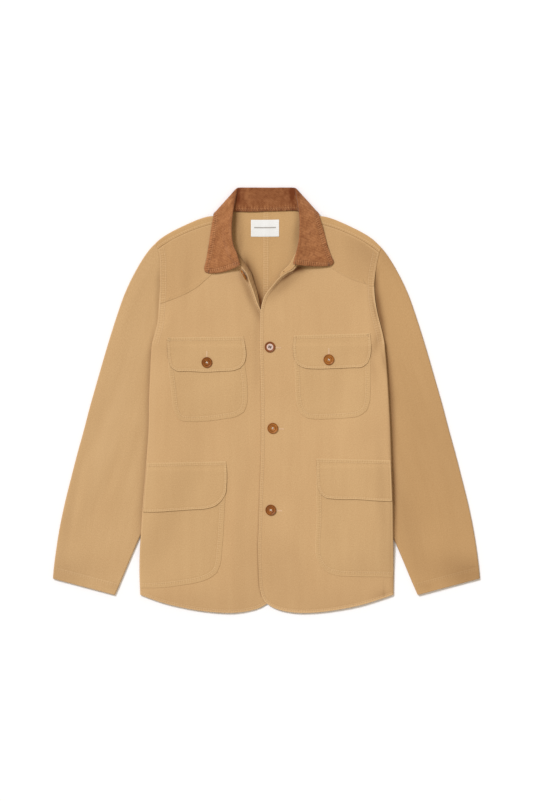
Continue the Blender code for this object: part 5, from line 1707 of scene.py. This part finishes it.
@dataclass
class Patches:
    """Yokes, patch pockets and flaps of both fronts."""

    ground: Ground
    row: float = 8.7
    flap_row: float = 4.3

    def outline(self, lines: dict[str, Table], whole: bool) -> list[tuple[float, float]]:
        """The sewn or free edge of a patch, from its top inner corner round the bottom."""
        return [*lines["inner"], *lines["bottom"][1:], *(lines["outer"][-2::-1] if whole else ())]

    def pocket(self, name: str, side: Side, lines: dict[str, Table], whole: bool) -> Patch:
        """A patch pocket with one row of stitching inside its edge."""
        s = side.value
        seams = (Seam.along(self.outline(lines, whole), offset=s * self.row),)
        return Patch(name, side, lines, seams, wall=0.5, soft=1.6)

    def flap(self, name: str, side: Side, lines: dict[str, Table], whole: bool, over: float) -> Patch:
        """A pocket flap: a row inside its free edge and twin rows across its sewn top."""
        s = side.value
        seams = (
            Seam.along(self.outline(lines, whole), offset=s * self.flap_row),
            Seam.along(lines["top"], offset=-s * 6.3),
        )
        return Patch(name, side, lines, seams, over=over, lift=0.3, wall=0.65)

    def yoke(self, side: Side) -> Patch:
        """A front yoke: from the shoulder seam and the armhole down to its curved lower line."""
        s = side.value
        line, neck = side.pick(YOKE_RIGHT, YOKE_LEFT), side.pick(YOKE_NECK_RIGHT, YOKE_NECK_LEFT)
        end = (SEAM_END[s][0] - s * 0.4, SEAM_END[s][1] - 1.2)
        arm = [(s * (r[side.column] - 0.1), r[0]) for r in ARMHOLE if r[0] > line[0][1] + 8.0]
        arm = [line[0], *arm, end]
        seam = [end, *((s * r[0], r[2] - 1.0) for r in SHOULDER[1:] if r[0] > 96.0), neck[-1]]
        lines = {"bottom": line, "top": seam, "inner": arm[::-1], "outer": neck[::-1]}
        seams = (Seam.along(line, offset=s * 4.6), Seam.armhole(side))
        return Patch(f"yoke_{side.word}", side, lines, seams, wall=0.45, soft=1.6)

    def make(self) -> None:
        """Builds, dresses and lays every patch."""
        for side in Side:
            word, front = side.word, f"front_{side.word}"
            work = [(self.yoke(side), (0.14, 0.16), (front,))]
            chest = side.pick((CHEST_POCKET_RIGHT, CHEST_FLAP_RIGHT), (CHEST_POCKET_LEFT, CHEST_FLAP_LEFT))
            lower = side.pick((LOWER_POCKET_RIGHT, LOWER_FLAP_RIGHT), (LOWER_POCKET_LEFT, LOWER_FLAP_LEFT))
            for place, (pocket, flap), size, flap_size in (
                ("chest", chest, (0.152, 0.15), (0.152, 0.075)), ("lower", lower, (0.17, 0.235), (0.165, 0.1))
            ):
                name, whole = f"{place}_pocket_{word}", place == "chest"
                over = self.flap(f"{place}_flap_{word}", side, flap, whole, pocket["top"][0][1])
                work.append((self.pocket(name, side, pocket, whole), size, (front,)))
                work.append((over, flap_size, (front, name)))
            for patch, size, rests in work:
                finish = YOKE_CANVAS if patch.name.startswith("yoke") else PATCH_CANVAS
                obj = dress(patch.cloth(self.ground), finish, patch.name, size)
                self.ground.lay(obj, patch.name, patch.seams)


@dataclass
class Collar:
    """The turned collar: stand, roll and leaf in one piece of corded cloth."""

    ground: Ground
    wall: float = COLLAR_WALL
    roll_radius: float = 1.55
    leaf_gap: dict[Side, float] = field(default_factory=lambda: {Side.RIGHT: 0.7, Side.LEFT: 1.95})
    sections: int = 300
    row: float = 8.6

    def filled(self, row: tuple[float, ...]) -> list[float]:
        """A section's numbers with its open heights worked out."""
        nx, ny, nz, rx, ry, rz, ex, ey, ez, turn, bow = row
        side = Side.LEFT if nx > 0 else Side.RIGHT
        if not nz:
            nz = float(self.ground.front(nx, ny, side)) + SEAM_GAP + self.wall / 2
        if not ez:
            ez = self.leaf(ex, ey, side)
        return [nx, ny, nz, rx, ry, rz, ex, ey, ez, turn, bow]

    def leaf(self, x: Array, y: Array, side: Side) -> float:
        """Height of the middle of the leaf where it lies on the front."""
        return float(self.ground.front(x, y, side)) + self.leaf_gap[side] + self.wall / 2

    def section(self, row: Array) -> Array:
        """Points of the middle of the wall across one section, neck seam to free edge."""
        nx, ny, nz, rx, ry, rz, ex, ey, ez, turn, bow = row
        side = Side.LEFT if nx > 0 else Side.RIGHT
        neck, roll, edge = np.array([nx, ny, nz]), np.array([rx, ry, rz]), np.array([ex, ey, ez])
        lead = roll[:2] - (neck[:2] + edge[:2]) / 2
        over, below = float(ease((turn - 50.0) / 20.0)), float(ease((-turn - 50.0) / 20.0))
        lead = lead / norm(lead)
        lead = lead * (1 - over - below) + over * (roll[:2] - edge[:2]) / norm(roll[:2] - edge[:2])
        lead = lead + below * np.array([0.0, 1.0])
        lead /= norm(lead)
        tip = np.array([lead[0], lead[1], 0.0])
        across = np.array([-lead[1], lead[0], 0.0])
        if across[0] * (ex if abs(ex) > 1 else side.value) < 0:
            across = -across
        a = math.radians(turn)
        rise = np.array([0.0, 0.0, 1.0]) * math.sin(a) + across * math.cos(a)
        centre = roll - self.roll_radius * tip
        loop = [centre + self.roll_radius * (tip * math.cos(t) + rise * math.sin(t))
                for t in np.radians(np.linspace(-90, 90, 9))]
        stand = [neck + (loop[0] - neck) * s for s in np.linspace(0, 1, 16)[:-1]]
        fall = []
        for s in np.linspace(0, 1, 44)[1:]:
            p = loop[-1] + (edge - loop[-1]) * s
            p[1] -= bow * 4 * s * (1 - s)
            if turn > 40:
                low = self.leaf(p[0], p[1], side)
                hang = side.pick(0.75, 0.35)
                drape = (p[2] - low) * (1 - hang * math.sin(math.pi * s) ** 0.7) + low
                p[2] += over * (max(drape + 0.3 * math.sin(math.pi * s), low) - p[2])
            fall.append(p)
        return np.array(stand + loop + fall)

    def cloth(self) -> Cloth:
        """The whole collar, front end to front end."""
        rows = np.array([self.filled(r) for r in COLLAR_RIGHT + COLLAR_LEFT[::-1]])
        at = running(rows[:, 6:8]) + running(rows[:, 3:5])
        table = cubic(rows, np.gradient(rows, at, axis=0), at, np.linspace(0, at[-1], self.sections))
        return self.shell(np.array([self.section(r) for r in table]))

    def shell(self, grid: Array) -> Cloth:
        """Gives the middle surface its wall, rounded rims, stitching and cord.

        Args:
            grid: points of the middle of the wall, section by section.

        Returns:
            The collar's cloth.
        """
        across = np.array([running(row) for row in grid])
        along = np.array([running(row) for row in grid.swapaxes(0, 1)]).T
        to_edge = across[:, -1:] - across
        to_end = np.minimum(along, along[-1:] - along)
        rim = np.minimum(np.minimum(to_edge, across + 1.0), to_end)
        normal = np.cross(np.gradient(grid, axis=0), np.gradient(grid, axis=1))
        normal /= np.maximum(norm(normal, axis=-1), 1e-9)[..., None]
        inside = np.minimum(to_edge, to_end)
        path = np.where(to_edge < to_end, along, across)
        wave = np.sin(path * 2 * math.pi / COLLAR_WAVE + 2.2 * smooth_noise(path, 0, 19.0, 7))
        relief = 0.20 * wave * bell(inside - self.row * 0.6, 5.0) - 0.25 * bell(inside - self.row, 1.7)
        beads = np.sin(along * 2 * math.pi / BEAD_WAVE + 2.0 * smooth_noise(along, 0, 17.0, 9))
        relief = relief + 0.22 * beads * bell(across - 7.0, 4.5) - 0.2 * bell(across - 5.5, 1.5)
        for high, wide, seed in ((0.16, 13.0, 8), (0.22, 31.0, 6)):
            relief = relief + high * smooth_noise(along, across, wide, seed)
        half = self.wall / 2 * round_edge(rim, 1.5, 0.25)[..., None]
        bump = relief[..., None] * round_edge(rim, 2.0, 0.0)[..., None]
        outer = grid + normal * (half + bump)
        inner = grid - normal * half
        mark = np.stack([path, self.row - inside, np.zeros(path.shape)], axis=-1)
        stand = across < 12.0
        flat = np.stack([along, across], axis=-1)
        mark[stand] = np.stack([along, 5.5 - across, np.zeros(path.shape)], axis=-1)[stand]
        near = 1.0 - ease((np.abs(mark[..., 1]) - MARK_REACH) / MARK_FADE)
        marked = mark.reshape(-1, 3), near.ravel()
        painted_shade_and_tone = self.tone_and_painted_shade(grid, across)
        return Cloth("collar_cord", outer, inner, painted_shade_and_tone=painted_shade_and_tone, weave=flat.reshape(-1, 2), marked=marked)

    @staticmethod
    def tone_and_painted_shade(grid: Array, across: Array) -> Array:
        """Share of the darker tone: darker on the stand inside the roll, with painted shade at the roll's
        corners and painted highlights on the puckers at its foot; mottled on the leaf and darker on the
        wearer's left.
        """
        x, y = grid[..., 0], grid[..., 1]
        on_stand = 1.0 - ease((np.arange(grid.shape[1]) - 17.0) / 5.0)
        # Painted shade where the roll's corners meet the stand.
        corners = 0.55 * bell(x + 55.0, 5.0) + 0.7 * bell(x - 49.0, 5.6)
        pucker = np.sin(x * 2 * math.pi / BEAD_WAVE + 2.0 * smooth_noise(x, 0, 17.0, 9))
        inside = 0.52 + corners * (0.35 + 0.65 * ease((across - 6.0) / 24.0))
        # Painted highlights on the puckers along the stand's foot.
        inside = inside - (0.2 + 0.24 * pucker) * bell(across - 7.0, 4.6)
        inside = inside + 0.18 * smooth_noise(x, across, 9.0, 61) + 0.16 * smooth_noise(x, across, 4.0, 63)
        fallen = 0.14 * ease(x / 20.0) + 0.16 * smooth_noise(x, y, 14.0, 62)
        fallen = fallen + 0.18 * smooth_noise(x, y, 5.0, 64)
        # Painted shade on the leaf beside the roll's corners at the back.
        fallen = fallen + 0.4 * bell(np.abs(x) - 61.0, 5.0) * ease((y - 335.0) / 25.0)
        return on_stand * inside + (1.0 - on_stand) * fallen

    def make(self) -> None:
        dress(self.cloth(), CORD, "collar", (0.5, 0.105))


@dataclass
class Inside:
    """What shows inside the open neck: the front facings and the woven label."""

    ground: Ground
    wall: float = CLOTH
    label_wall: float = 0.6
    tip: Table = ((-13.0, 175.0, -12.0, 175.4, 0.8),)
    hidden_right: Table = ((-51.0, 259.0, -50.0, 273.5, 6.5), (-56.0, 265.0, -55.5, 281.0, 6.0))
    hidden_left: Table = ((50.5, 249.5, 50.5, 270.0, 6.4), (57.0, 258.0, 56.5, 281.0, 6.0))
    buttonhole_shade: tuple[float, float] = (33.2, 244.0)

    def facing(self, side: Side) -> Cloth:
        """The strip of a front's inner side that shows below its raised free edge."""
        right, left = self.tip + FACING_RIGHT + self.hidden_right, FACING_LEFT + self.hidden_left
        table = np.array(side.pick(right, left))
        shares = np.linspace(0, 1, 60)
        edge, inner = curve(table[:, 0:2], shares), curve(table[:, 2:4], shares)
        drop = np.interp(shares, np.linspace(0, 1, len(table)), table[:, 4])
        top = self.ground.front(edge[:, 0], edge[:, 1], side) - self.wall - 0.1
        reach = inner - edge
        start = edge + reach * (0.4 / norm(reach, axis=1))[:, None]
        grid = np.array([np.column_stack([start + (inner - start) * share, top - drop * share])
                         for share in np.linspace(0, 1, 20)])
        normal = np.cross(np.gradient(grid, axis=1), np.gradient(grid, axis=0))
        normal /= norm(normal, axis=-1)[..., None]
        normal *= np.where(normal[..., 2:] < 0, -1.0, 1.0)
        share = np.linspace(0, 1, 20)[:, None] + np.zeros((1, 60))
        # Painted shade on the facing, deeper into the opening and towards the collar on the right; on the
        # left a painted highlight along its far side and a painted dark spot where the buttonhole opens.
        if side is Side.RIGHT:
            painted_shade_and_tone = 0.14 + 0.36 * share + 0.16 * ease((grid[..., 1] - 236.0) / 12.0)
        else:
            spot = np.hypot(grid[..., 0] - self.buttonhole_shade[0], grid[..., 1] - self.buttonhole_shade[1])
            painted_shade_and_tone = 0.10 - 0.7 * bell(share - 1.0, 0.10) + 0.85 * bell(spot, 1.1)
        return Cloth(f"facing_{side.word}_canvas", grid, grid - normal * self.wall, painted_shade_and_tone=painted_shade_and_tone)

    def label(self) -> tuple[Cloth, Cloth]:
        """The bare woven label and the plain bar woven on it."""
        x0, x1, y0, y1 = LABEL_CORNERS
        return self.strip("neck_label_weave", (x0, x1, y0, y1), 0.15, self.label_wall), self.strip(
            "neck_label_bars", (x0 + 6.0, x1 - 6.0, y0 + 16.2, y0 + 18.6), self.label_wall + 0.12, 0.12)

    def strip(self, name: str, corners: tuple[float, ...], level: float, wall: float) -> Cloth:
        """A flat rectangle lying on the back's inner side."""
        x0, x1, y0, y1 = corners
        u = shares_of(x1 - x0, (0.0, 0.2, 0.6), (0.0, 0.2, 0.6), 1.5)
        v = shares_of(y1 - y0, (0.0, 0.2, 0.6), (0.0, 0.2, 0.6), 1.5)
        x, y = np.meshgrid(x0 + u * (x1 - x0), y0 + v * (y1 - y0))
        y = y - 0.4 - 0.3 * np.sin((x - x0) / (x1 - x0) * math.pi) + 0.006 * (x - x0)
        backs = ("back_right", "back_left")
        z = np.array([[self.ground.highest(backs, a, b) for a, b in zip(r, s)] for r, s in zip(x, y)])
        z = z + level + 0.12 * smooth_noise(x, y, 9.0, 51)
        rim = np.minimum(np.minimum(u, 1 - u)[None, :] * (x1 - x0), np.minimum(v, 1 - v)[:, None] * (y1 - y0))
        outer, inner = (np.dstack([x, y, h]) for h in (z + wall * round_edge(rim, 0.5, 0.3), z))
        ends = (x0 + 1.4, x1 - 1.4) if wall > 0.3 else ()
        return Cloth(name, outer, inner, tuple(Seam.along([(end, y0), (end, y1)]) for end in ends))

    def make(self) -> None:
        for side in Side:
            size, rests = side.pick((0.068, 0.024), (0.03, 0.022)), (f"front_{side.word}",)
            dress(self.facing(side), INNER_CANVAS, f"facing_{side.word}", size)
        label, bars = self.label()
        dress(label, LABEL_WEAVE, "neck_label", (0.0537, 0.0324))
        bar = bars.build(BAR_WEAVE)
        report(bar)


class Desk:
    """Blender's own tools, used as by hand: one piece at a time, nothing else selected."""

    @staticmethod
    def clear() -> None:
        """Deselects everything."""
        if bpy.context.object and bpy.context.object.mode != "OBJECT":
            bpy.ops.object.mode_set(mode="OBJECT")
        bpy.ops.object.select_all(action="DESELECT")

    @staticmethod
    def pick(obj: Object) -> None:
        """Selects one object alone."""
        Desk.clear()
        obj.select_set(True)
        bpy.context.view_layer.objects.active = obj

    @staticmethod
    def choose(obj: Object, kind: str, test: Callable) -> None:
        """Selects faces or points of the object by a test, ready for edit mode.

        Args:
            obj: the object, in object mode.
            kind: FACE or VERT.
            test: tells whether a face or a point is chosen.
        """
        Desk.pick(obj)
        bpy.ops.object.mode_set(mode="EDIT")
        bpy.ops.mesh.select_mode(type=kind)
        bpy.ops.mesh.select_all(action="DESELECT")
        bpy.ops.object.mode_set(mode="OBJECT")
        items = obj.data.polygons if kind == "FACE" else obj.data.vertices
        for item in items:
            item.select = bool(test(item))
        bpy.ops.object.mode_set(mode="EDIT")

    @staticmethod
    def done(obj: Object, name: str) -> Object:
        """Leaves edit mode, sets the place into the mesh and smooths the faces."""
        Desk.pick(obj)
        bpy.ops.object.transform_apply(location=True, rotation=True, scale=True)
        bpy.ops.object.shade_smooth_by_angle(angle=math.radians(40))
        obj.name = name
        obj.data.name = name
        return obj

    @staticmethod
    def copy(obj: Object, name: str) -> Object:
        """A copy with its own mesh."""
        made = obj.copy()
        made.data = obj.data.copy()
        made.name = made.data.name = name
        bpy.context.scene.collection.objects.link(made)
        return made

    @staticmethod
    def settle(obj: Object, at: tuple[float, float, float], turn: Euler, finish: Finish, slot: str) -> None:
        """Moves a piece's mesh to where the piece belongs, and dresses it.

        Args:
            obj: the piece.
            at: its place, in millimetres.
            turn: how it is turned there.
            finish: its material.
            slot: not used.
        """
        x, y, z = at
        shift = Matrix.Translation((x * MM, (y + FRAME_SHIFT) * MM, z * MM))
        obj.data.transform(shift @ turn.to_matrix().to_4x4())
        obj.data.materials.clear()
        obj.data.materials.append(finish.material())
        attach(obj, "root")


@dataclass
class Buttons:
    """Dished four-hole buttons, their thread, and the buttonholes."""

    ground: Ground
    radius: float = 10.2
    height: float = 2.6
    rim: float = 1.7
    dish: float = 0.75
    hole: float = 0.72
    spacing: float = 1.05
    strand: float = 0.62
    slit: float = 22.0
    hole_above: float = 11.0
    hole_beside: float = 11.2
    wide_strand: tuple[float, ...] = (1.75, 1.6, 1.15, 1.0)
    finishes: dict[str, Finish] = field(default_factory=lambda: {
        "button_front_top": PALE_HORN, "button_front_middle": FAIR_HORN, "button_front_bottom": HORN,
        "button_chest_right": HORN, "button_chest_left": FAIR_HORN})

    def blank(self) -> Object:
        """One button, flat on the origin, with its rim, dish, ring and four holes."""
        r, h = self.radius * MM, self.height * MM
        Desk.clear()
        bpy.ops.mesh.primitive_cylinder_add(vertices=72, radius=r, depth=h, location=(0, 0, h / 2))
        obj = bpy.context.object
        Desk.choose(obj, "FACE", lambda f: f.normal.z > 0.9)
        rim = (0.5, 0.0), (self.rim - 0.5, -0.1), (0.7, -self.dish)
        for inset, drop in (*rim, (2.4, -0.15), (0.5, 0.18), (0.5, -0.22)):
            bpy.ops.mesh.inset(thickness=inset * MM, depth=0)
            bpy.ops.transform.translate(value=(0, 0, drop * MM))
        Desk.choose(obj, "FACE", lambda f: f.normal.z < -0.9)
        bpy.ops.mesh.inset(thickness=1.6 * MM, depth=0)
        bpy.ops.object.mode_set(mode="OBJECT")
        bevel = obj.modifiers.new("soft_edge", "BEVEL")
        bevel.width = 0.45 * MM
        bevel.segments = 3
        bevel.limit_method = "ANGLE"
        bevel.angle_limit = math.radians(35)
        Desk.pick(obj)
        bpy.ops.object.modifier_apply(modifier="soft_edge")
        for sx, sy in ((1, 1), (-1, 1), (-1, -1), (1, -1)):
            Desk.clear()
            place = (sx * self.spacing * MM, sy * self.spacing * MM, h / 2)
            bpy.ops.mesh.primitive_cylinder_add(
                vertices=20, radius=self.hole * MM, depth=3 * h, location=place)
            drill = bpy.context.object
            cut = obj.modifiers.new("hole", "BOOLEAN")
            cut.operation, cut.solver, cut.object = "DIFFERENCE", "EXACT", drill
            Desk.pick(obj)
            bpy.ops.object.modifier_apply(modifier="hole")
            bpy.data.objects.remove(drill)
        ring = obj.data.attributes.new("ring", "FLOAT", "POINT")
        ring.data.foreach_set("value", [v.co.xy.length / MM for v in obj.data.vertices])
        return Desk.done(obj, "button_blank")

    def strands(self) -> Object:
        """Thread that crosses between the holes, over the dish."""
        made = []
        z = (self.height - self.dish - 0.35) * MM
        for sy in (-1, 1):
            for shift in (-0.28, 0.28):
                Desk.clear()
                bpy.ops.mesh.primitive_cylinder_add(
                    vertices=8, radius=self.strand * MM, depth=(2 * self.spacing + 0.7) * MM,
                    location=(0, (sy * self.spacing + shift) * MM, z), rotation=(0, math.pi / 2, 0))
                obj = bpy.context.object
                Desk.choose(obj, "FACE", lambda f: len(f.vertices) > 4)
                bpy.ops.transform.translate(value=(0, 0, -0.5 * MM))
                bpy.ops.object.mode_set(mode="OBJECT")
                made.append(obj)
        Desk.clear()
        for obj in made:
            obj.select_set(True)
        bpy.context.view_layer.objects.active = made[0]
        bpy.ops.object.join()
        return Desk.done(made[0], "strand_blank")

    def loop(self) -> Object:
        """One buttonhole: a long ring of satin stitches lying along x."""
        Desk.clear()
        bpy.ops.mesh.primitive_torus_add(
            major_radius=0.75 * MM, minor_radius=0.42 * MM, major_segments=40, minor_segments=10)
        obj = bpy.context.object
        reach = (self.slit / 2 - 1.7) * MM
        for s in (-1, 1):
            Desk.choose(obj, "VERT", lambda v, s=s: v.co.x * s > 1e-6)
            bpy.ops.transform.translate(value=(s * reach, 0, 0))
        Desk.choose(obj, "FACE", lambda f: True)
        bpy.ops.transform.resize(value=(1, 1, 0.75))
        bpy.ops.object.mode_set(mode="OBJECT")
        return Desk.done(obj, "loop_blank")

    def make(self) -> None:
        """Places the buttons, their thread and the buttonholes."""
        blank, strand, loop = self.blank(), self.strands(), self.loop()
        for name, x, y, under in BUTTONS:
            z = self.ground.highest((under,), x, y) - 0.25
            turn = Euler((math.radians(2.0), math.radians(-1.5), 0.35 + 0.01 * y))
            self.fit(name, blank, strand, (x, y, z), turn, self.finishes[name])
            self.sew_hole(name, loop, x, y, under)
        n = NECK_BUTTON
        turn = Euler((0.0, math.radians(n["lean"] + 16.0), math.radians(n["turn"])))
        self.fit("button_neck", blank, strand, (n["x"] - 1.1, n["y"], n["z"]), turn, FAIR_HORN)
        for obj in (blank, strand, loop):
            bpy.data.objects.remove(obj)

    def fit(self, name: str, blank: Object, strand: Object, at: tuple, turn: Euler, finish: Finish) -> None:
        """Copies the button and its thread to one place."""
        sewn = DARK_THREAD if finish is PALE_HORN else BUTTON_THREAD
        for piece, source, dressed, slot in (
            (f"{name}_horn", blank, finish, "button"), (f"{name}_thread", strand, sewn, "canvas")
        ):
            obj = Desk.copy(source, piece)
            if sewn is DARK_THREAD and source is strand:
                obj.data.transform(Matrix.Diagonal(self.wide_strand))
            Desk.settle(obj, at, turn, dressed, slot)
            if source is blank:
                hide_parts(name)
            report(obj)

    def sew_hole(self, name: str, loop: Object, x: float, y: float, under: str) -> None:
        """Sews a buttonhole beside one button: upright on a flap, level on the front edge."""
        flap = "chest" in name
        place = (x, y + self.hole_above) if flap else (x + self.hole_beside, y - 1.0)
        obj = Desk.copy(loop, name.replace("button", "buttonhole"))
        turn = Euler((0, 0, math.pi / 2 if flap else math.radians(-3)))
        at = (*place, self.ground.highest((under,), *place) + 0.1)
        Desk.settle(obj, at, turn, PALE_THREAD, "canvas")


@dataclass
class Stitching:
    """All the topstitching that shows, one object of thread for each piece of cloth."""

    ground: Ground
    tool: Topstitch = field(default_factory=Topstitch)

    def make(self) -> None:
        """Sews every row on the piece that it belongs to."""
        for name, seams in self.ground.sewn:
            rows = [row for seam in seams for row in seam.rows()]
            laid = self.tool.drop(rows, self.ground.trees[name])
            obj = self.tool.sew(f"{name}_stitching", laid, THREAD)
            if obj is not None:
                report(obj)


@dataclass
class Studio:
    """The pale floor, the soft lights and the camera straight above."""

    lens: float = 200.0
    sensor: float = 36.0
    tall: float = 1.5242
    centre: tuple[float, float] = (0.0004, -0.0005)
    plane: float = 0.006
    floor_size: float = 6.0
    floor_top: float = -0.0006
    sky: tuple[float, ...] = (1.0, 0.89, 0.75, 1.0)
    sky_strength: float = 0.62
    sun: tuple[float, ...] = (0.94, 1.0, 1.13)
    sun_strength: float = 2.25
    sun_width: float = 16.0
    sun_way: tuple[float, ...] = (1.0, -1.15, -1.75)

    def floor(self) -> None:
        """A plain pale floor."""
        Desk.clear()
        bpy.ops.mesh.primitive_grid_add(
            x_subdivisions=8, y_subdivisions=8, size=self.floor_size, location=(0, 0, self.floor_top))
        obj = Desk.done(bpy.context.object, "floor")
        made = bpy.data.materials.new("floor_paper")
        made.use_nodes = True
        wire = Wiring(made.node_tree)
        shader = made.node_tree.nodes["Principled BSDF"]
        grain = wire.noise(wire.node("ShaderNodeTexCoord").outputs["Object"], 300.0, 3.0)
        paper = wire.mix(grain, (0.93, 0.93, 0.93, 1), (0.95, 0.95, 0.95, 1))
        wire.fill(shader, {"Base Color": paper, "Roughness": 0.9})
        obj.data.materials.append(made)

    def lights(self) -> None:
        """A bright even sky, and one large soft light from the upper left."""
        world = bpy.data.worlds.new("studio")
        bpy.context.scene.world = world
        world.use_nodes = True
        sky = world.node_tree.nodes["Background"].inputs
        sky["Color"].default_value, sky["Strength"].default_value = self.sky, self.sky_strength
        lamp = bpy.data.lights.new("key", "SUN")
        lamp.energy, lamp.angle, lamp.color = self.sun_strength, math.radians(self.sun_width), self.sun
        obj = bpy.data.objects.new("key", lamp)
        obj.rotation_euler = Vector(self.sun_way).to_track_quat("-Z", "Y").to_euler()
        bpy.context.scene.collection.objects.link(obj)

    def camera(self) -> None:
        """A long lens looking straight down."""
        data = bpy.data.cameras.new("view")
        data.lens, data.sensor_width, data.sensor_fit, data.clip_end = self.lens, self.sensor, "AUTO", 40.0
        obj = bpy.data.objects.new("view", data)
        far = self.tall * self.lens / self.sensor
        obj.location = (*self.centre, far + self.plane)
        bpy.context.scene.collection.objects.link(obj)
        bpy.context.scene.camera = obj

    def make(self) -> None:
        """Sets the stage."""
        self.camera()
        self.floor()
        self.lights()
        view = bpy.context.scene.view_settings
        view.view_transform, view.look = "Standard", "None"
        LOG.info("stage set")


def main() -> None:
    """Builds the jacket piece by piece."""
    logging.basicConfig(level=logging.INFO, format="%(name)s: %(message)s")
    ground = Ground()
    Studio().make()
    for part in (Panels, Sleeves, Patches, Collar, Inside, Buttons, Stitching):
        part(ground).make()


if __name__ == "__main__":
    main()
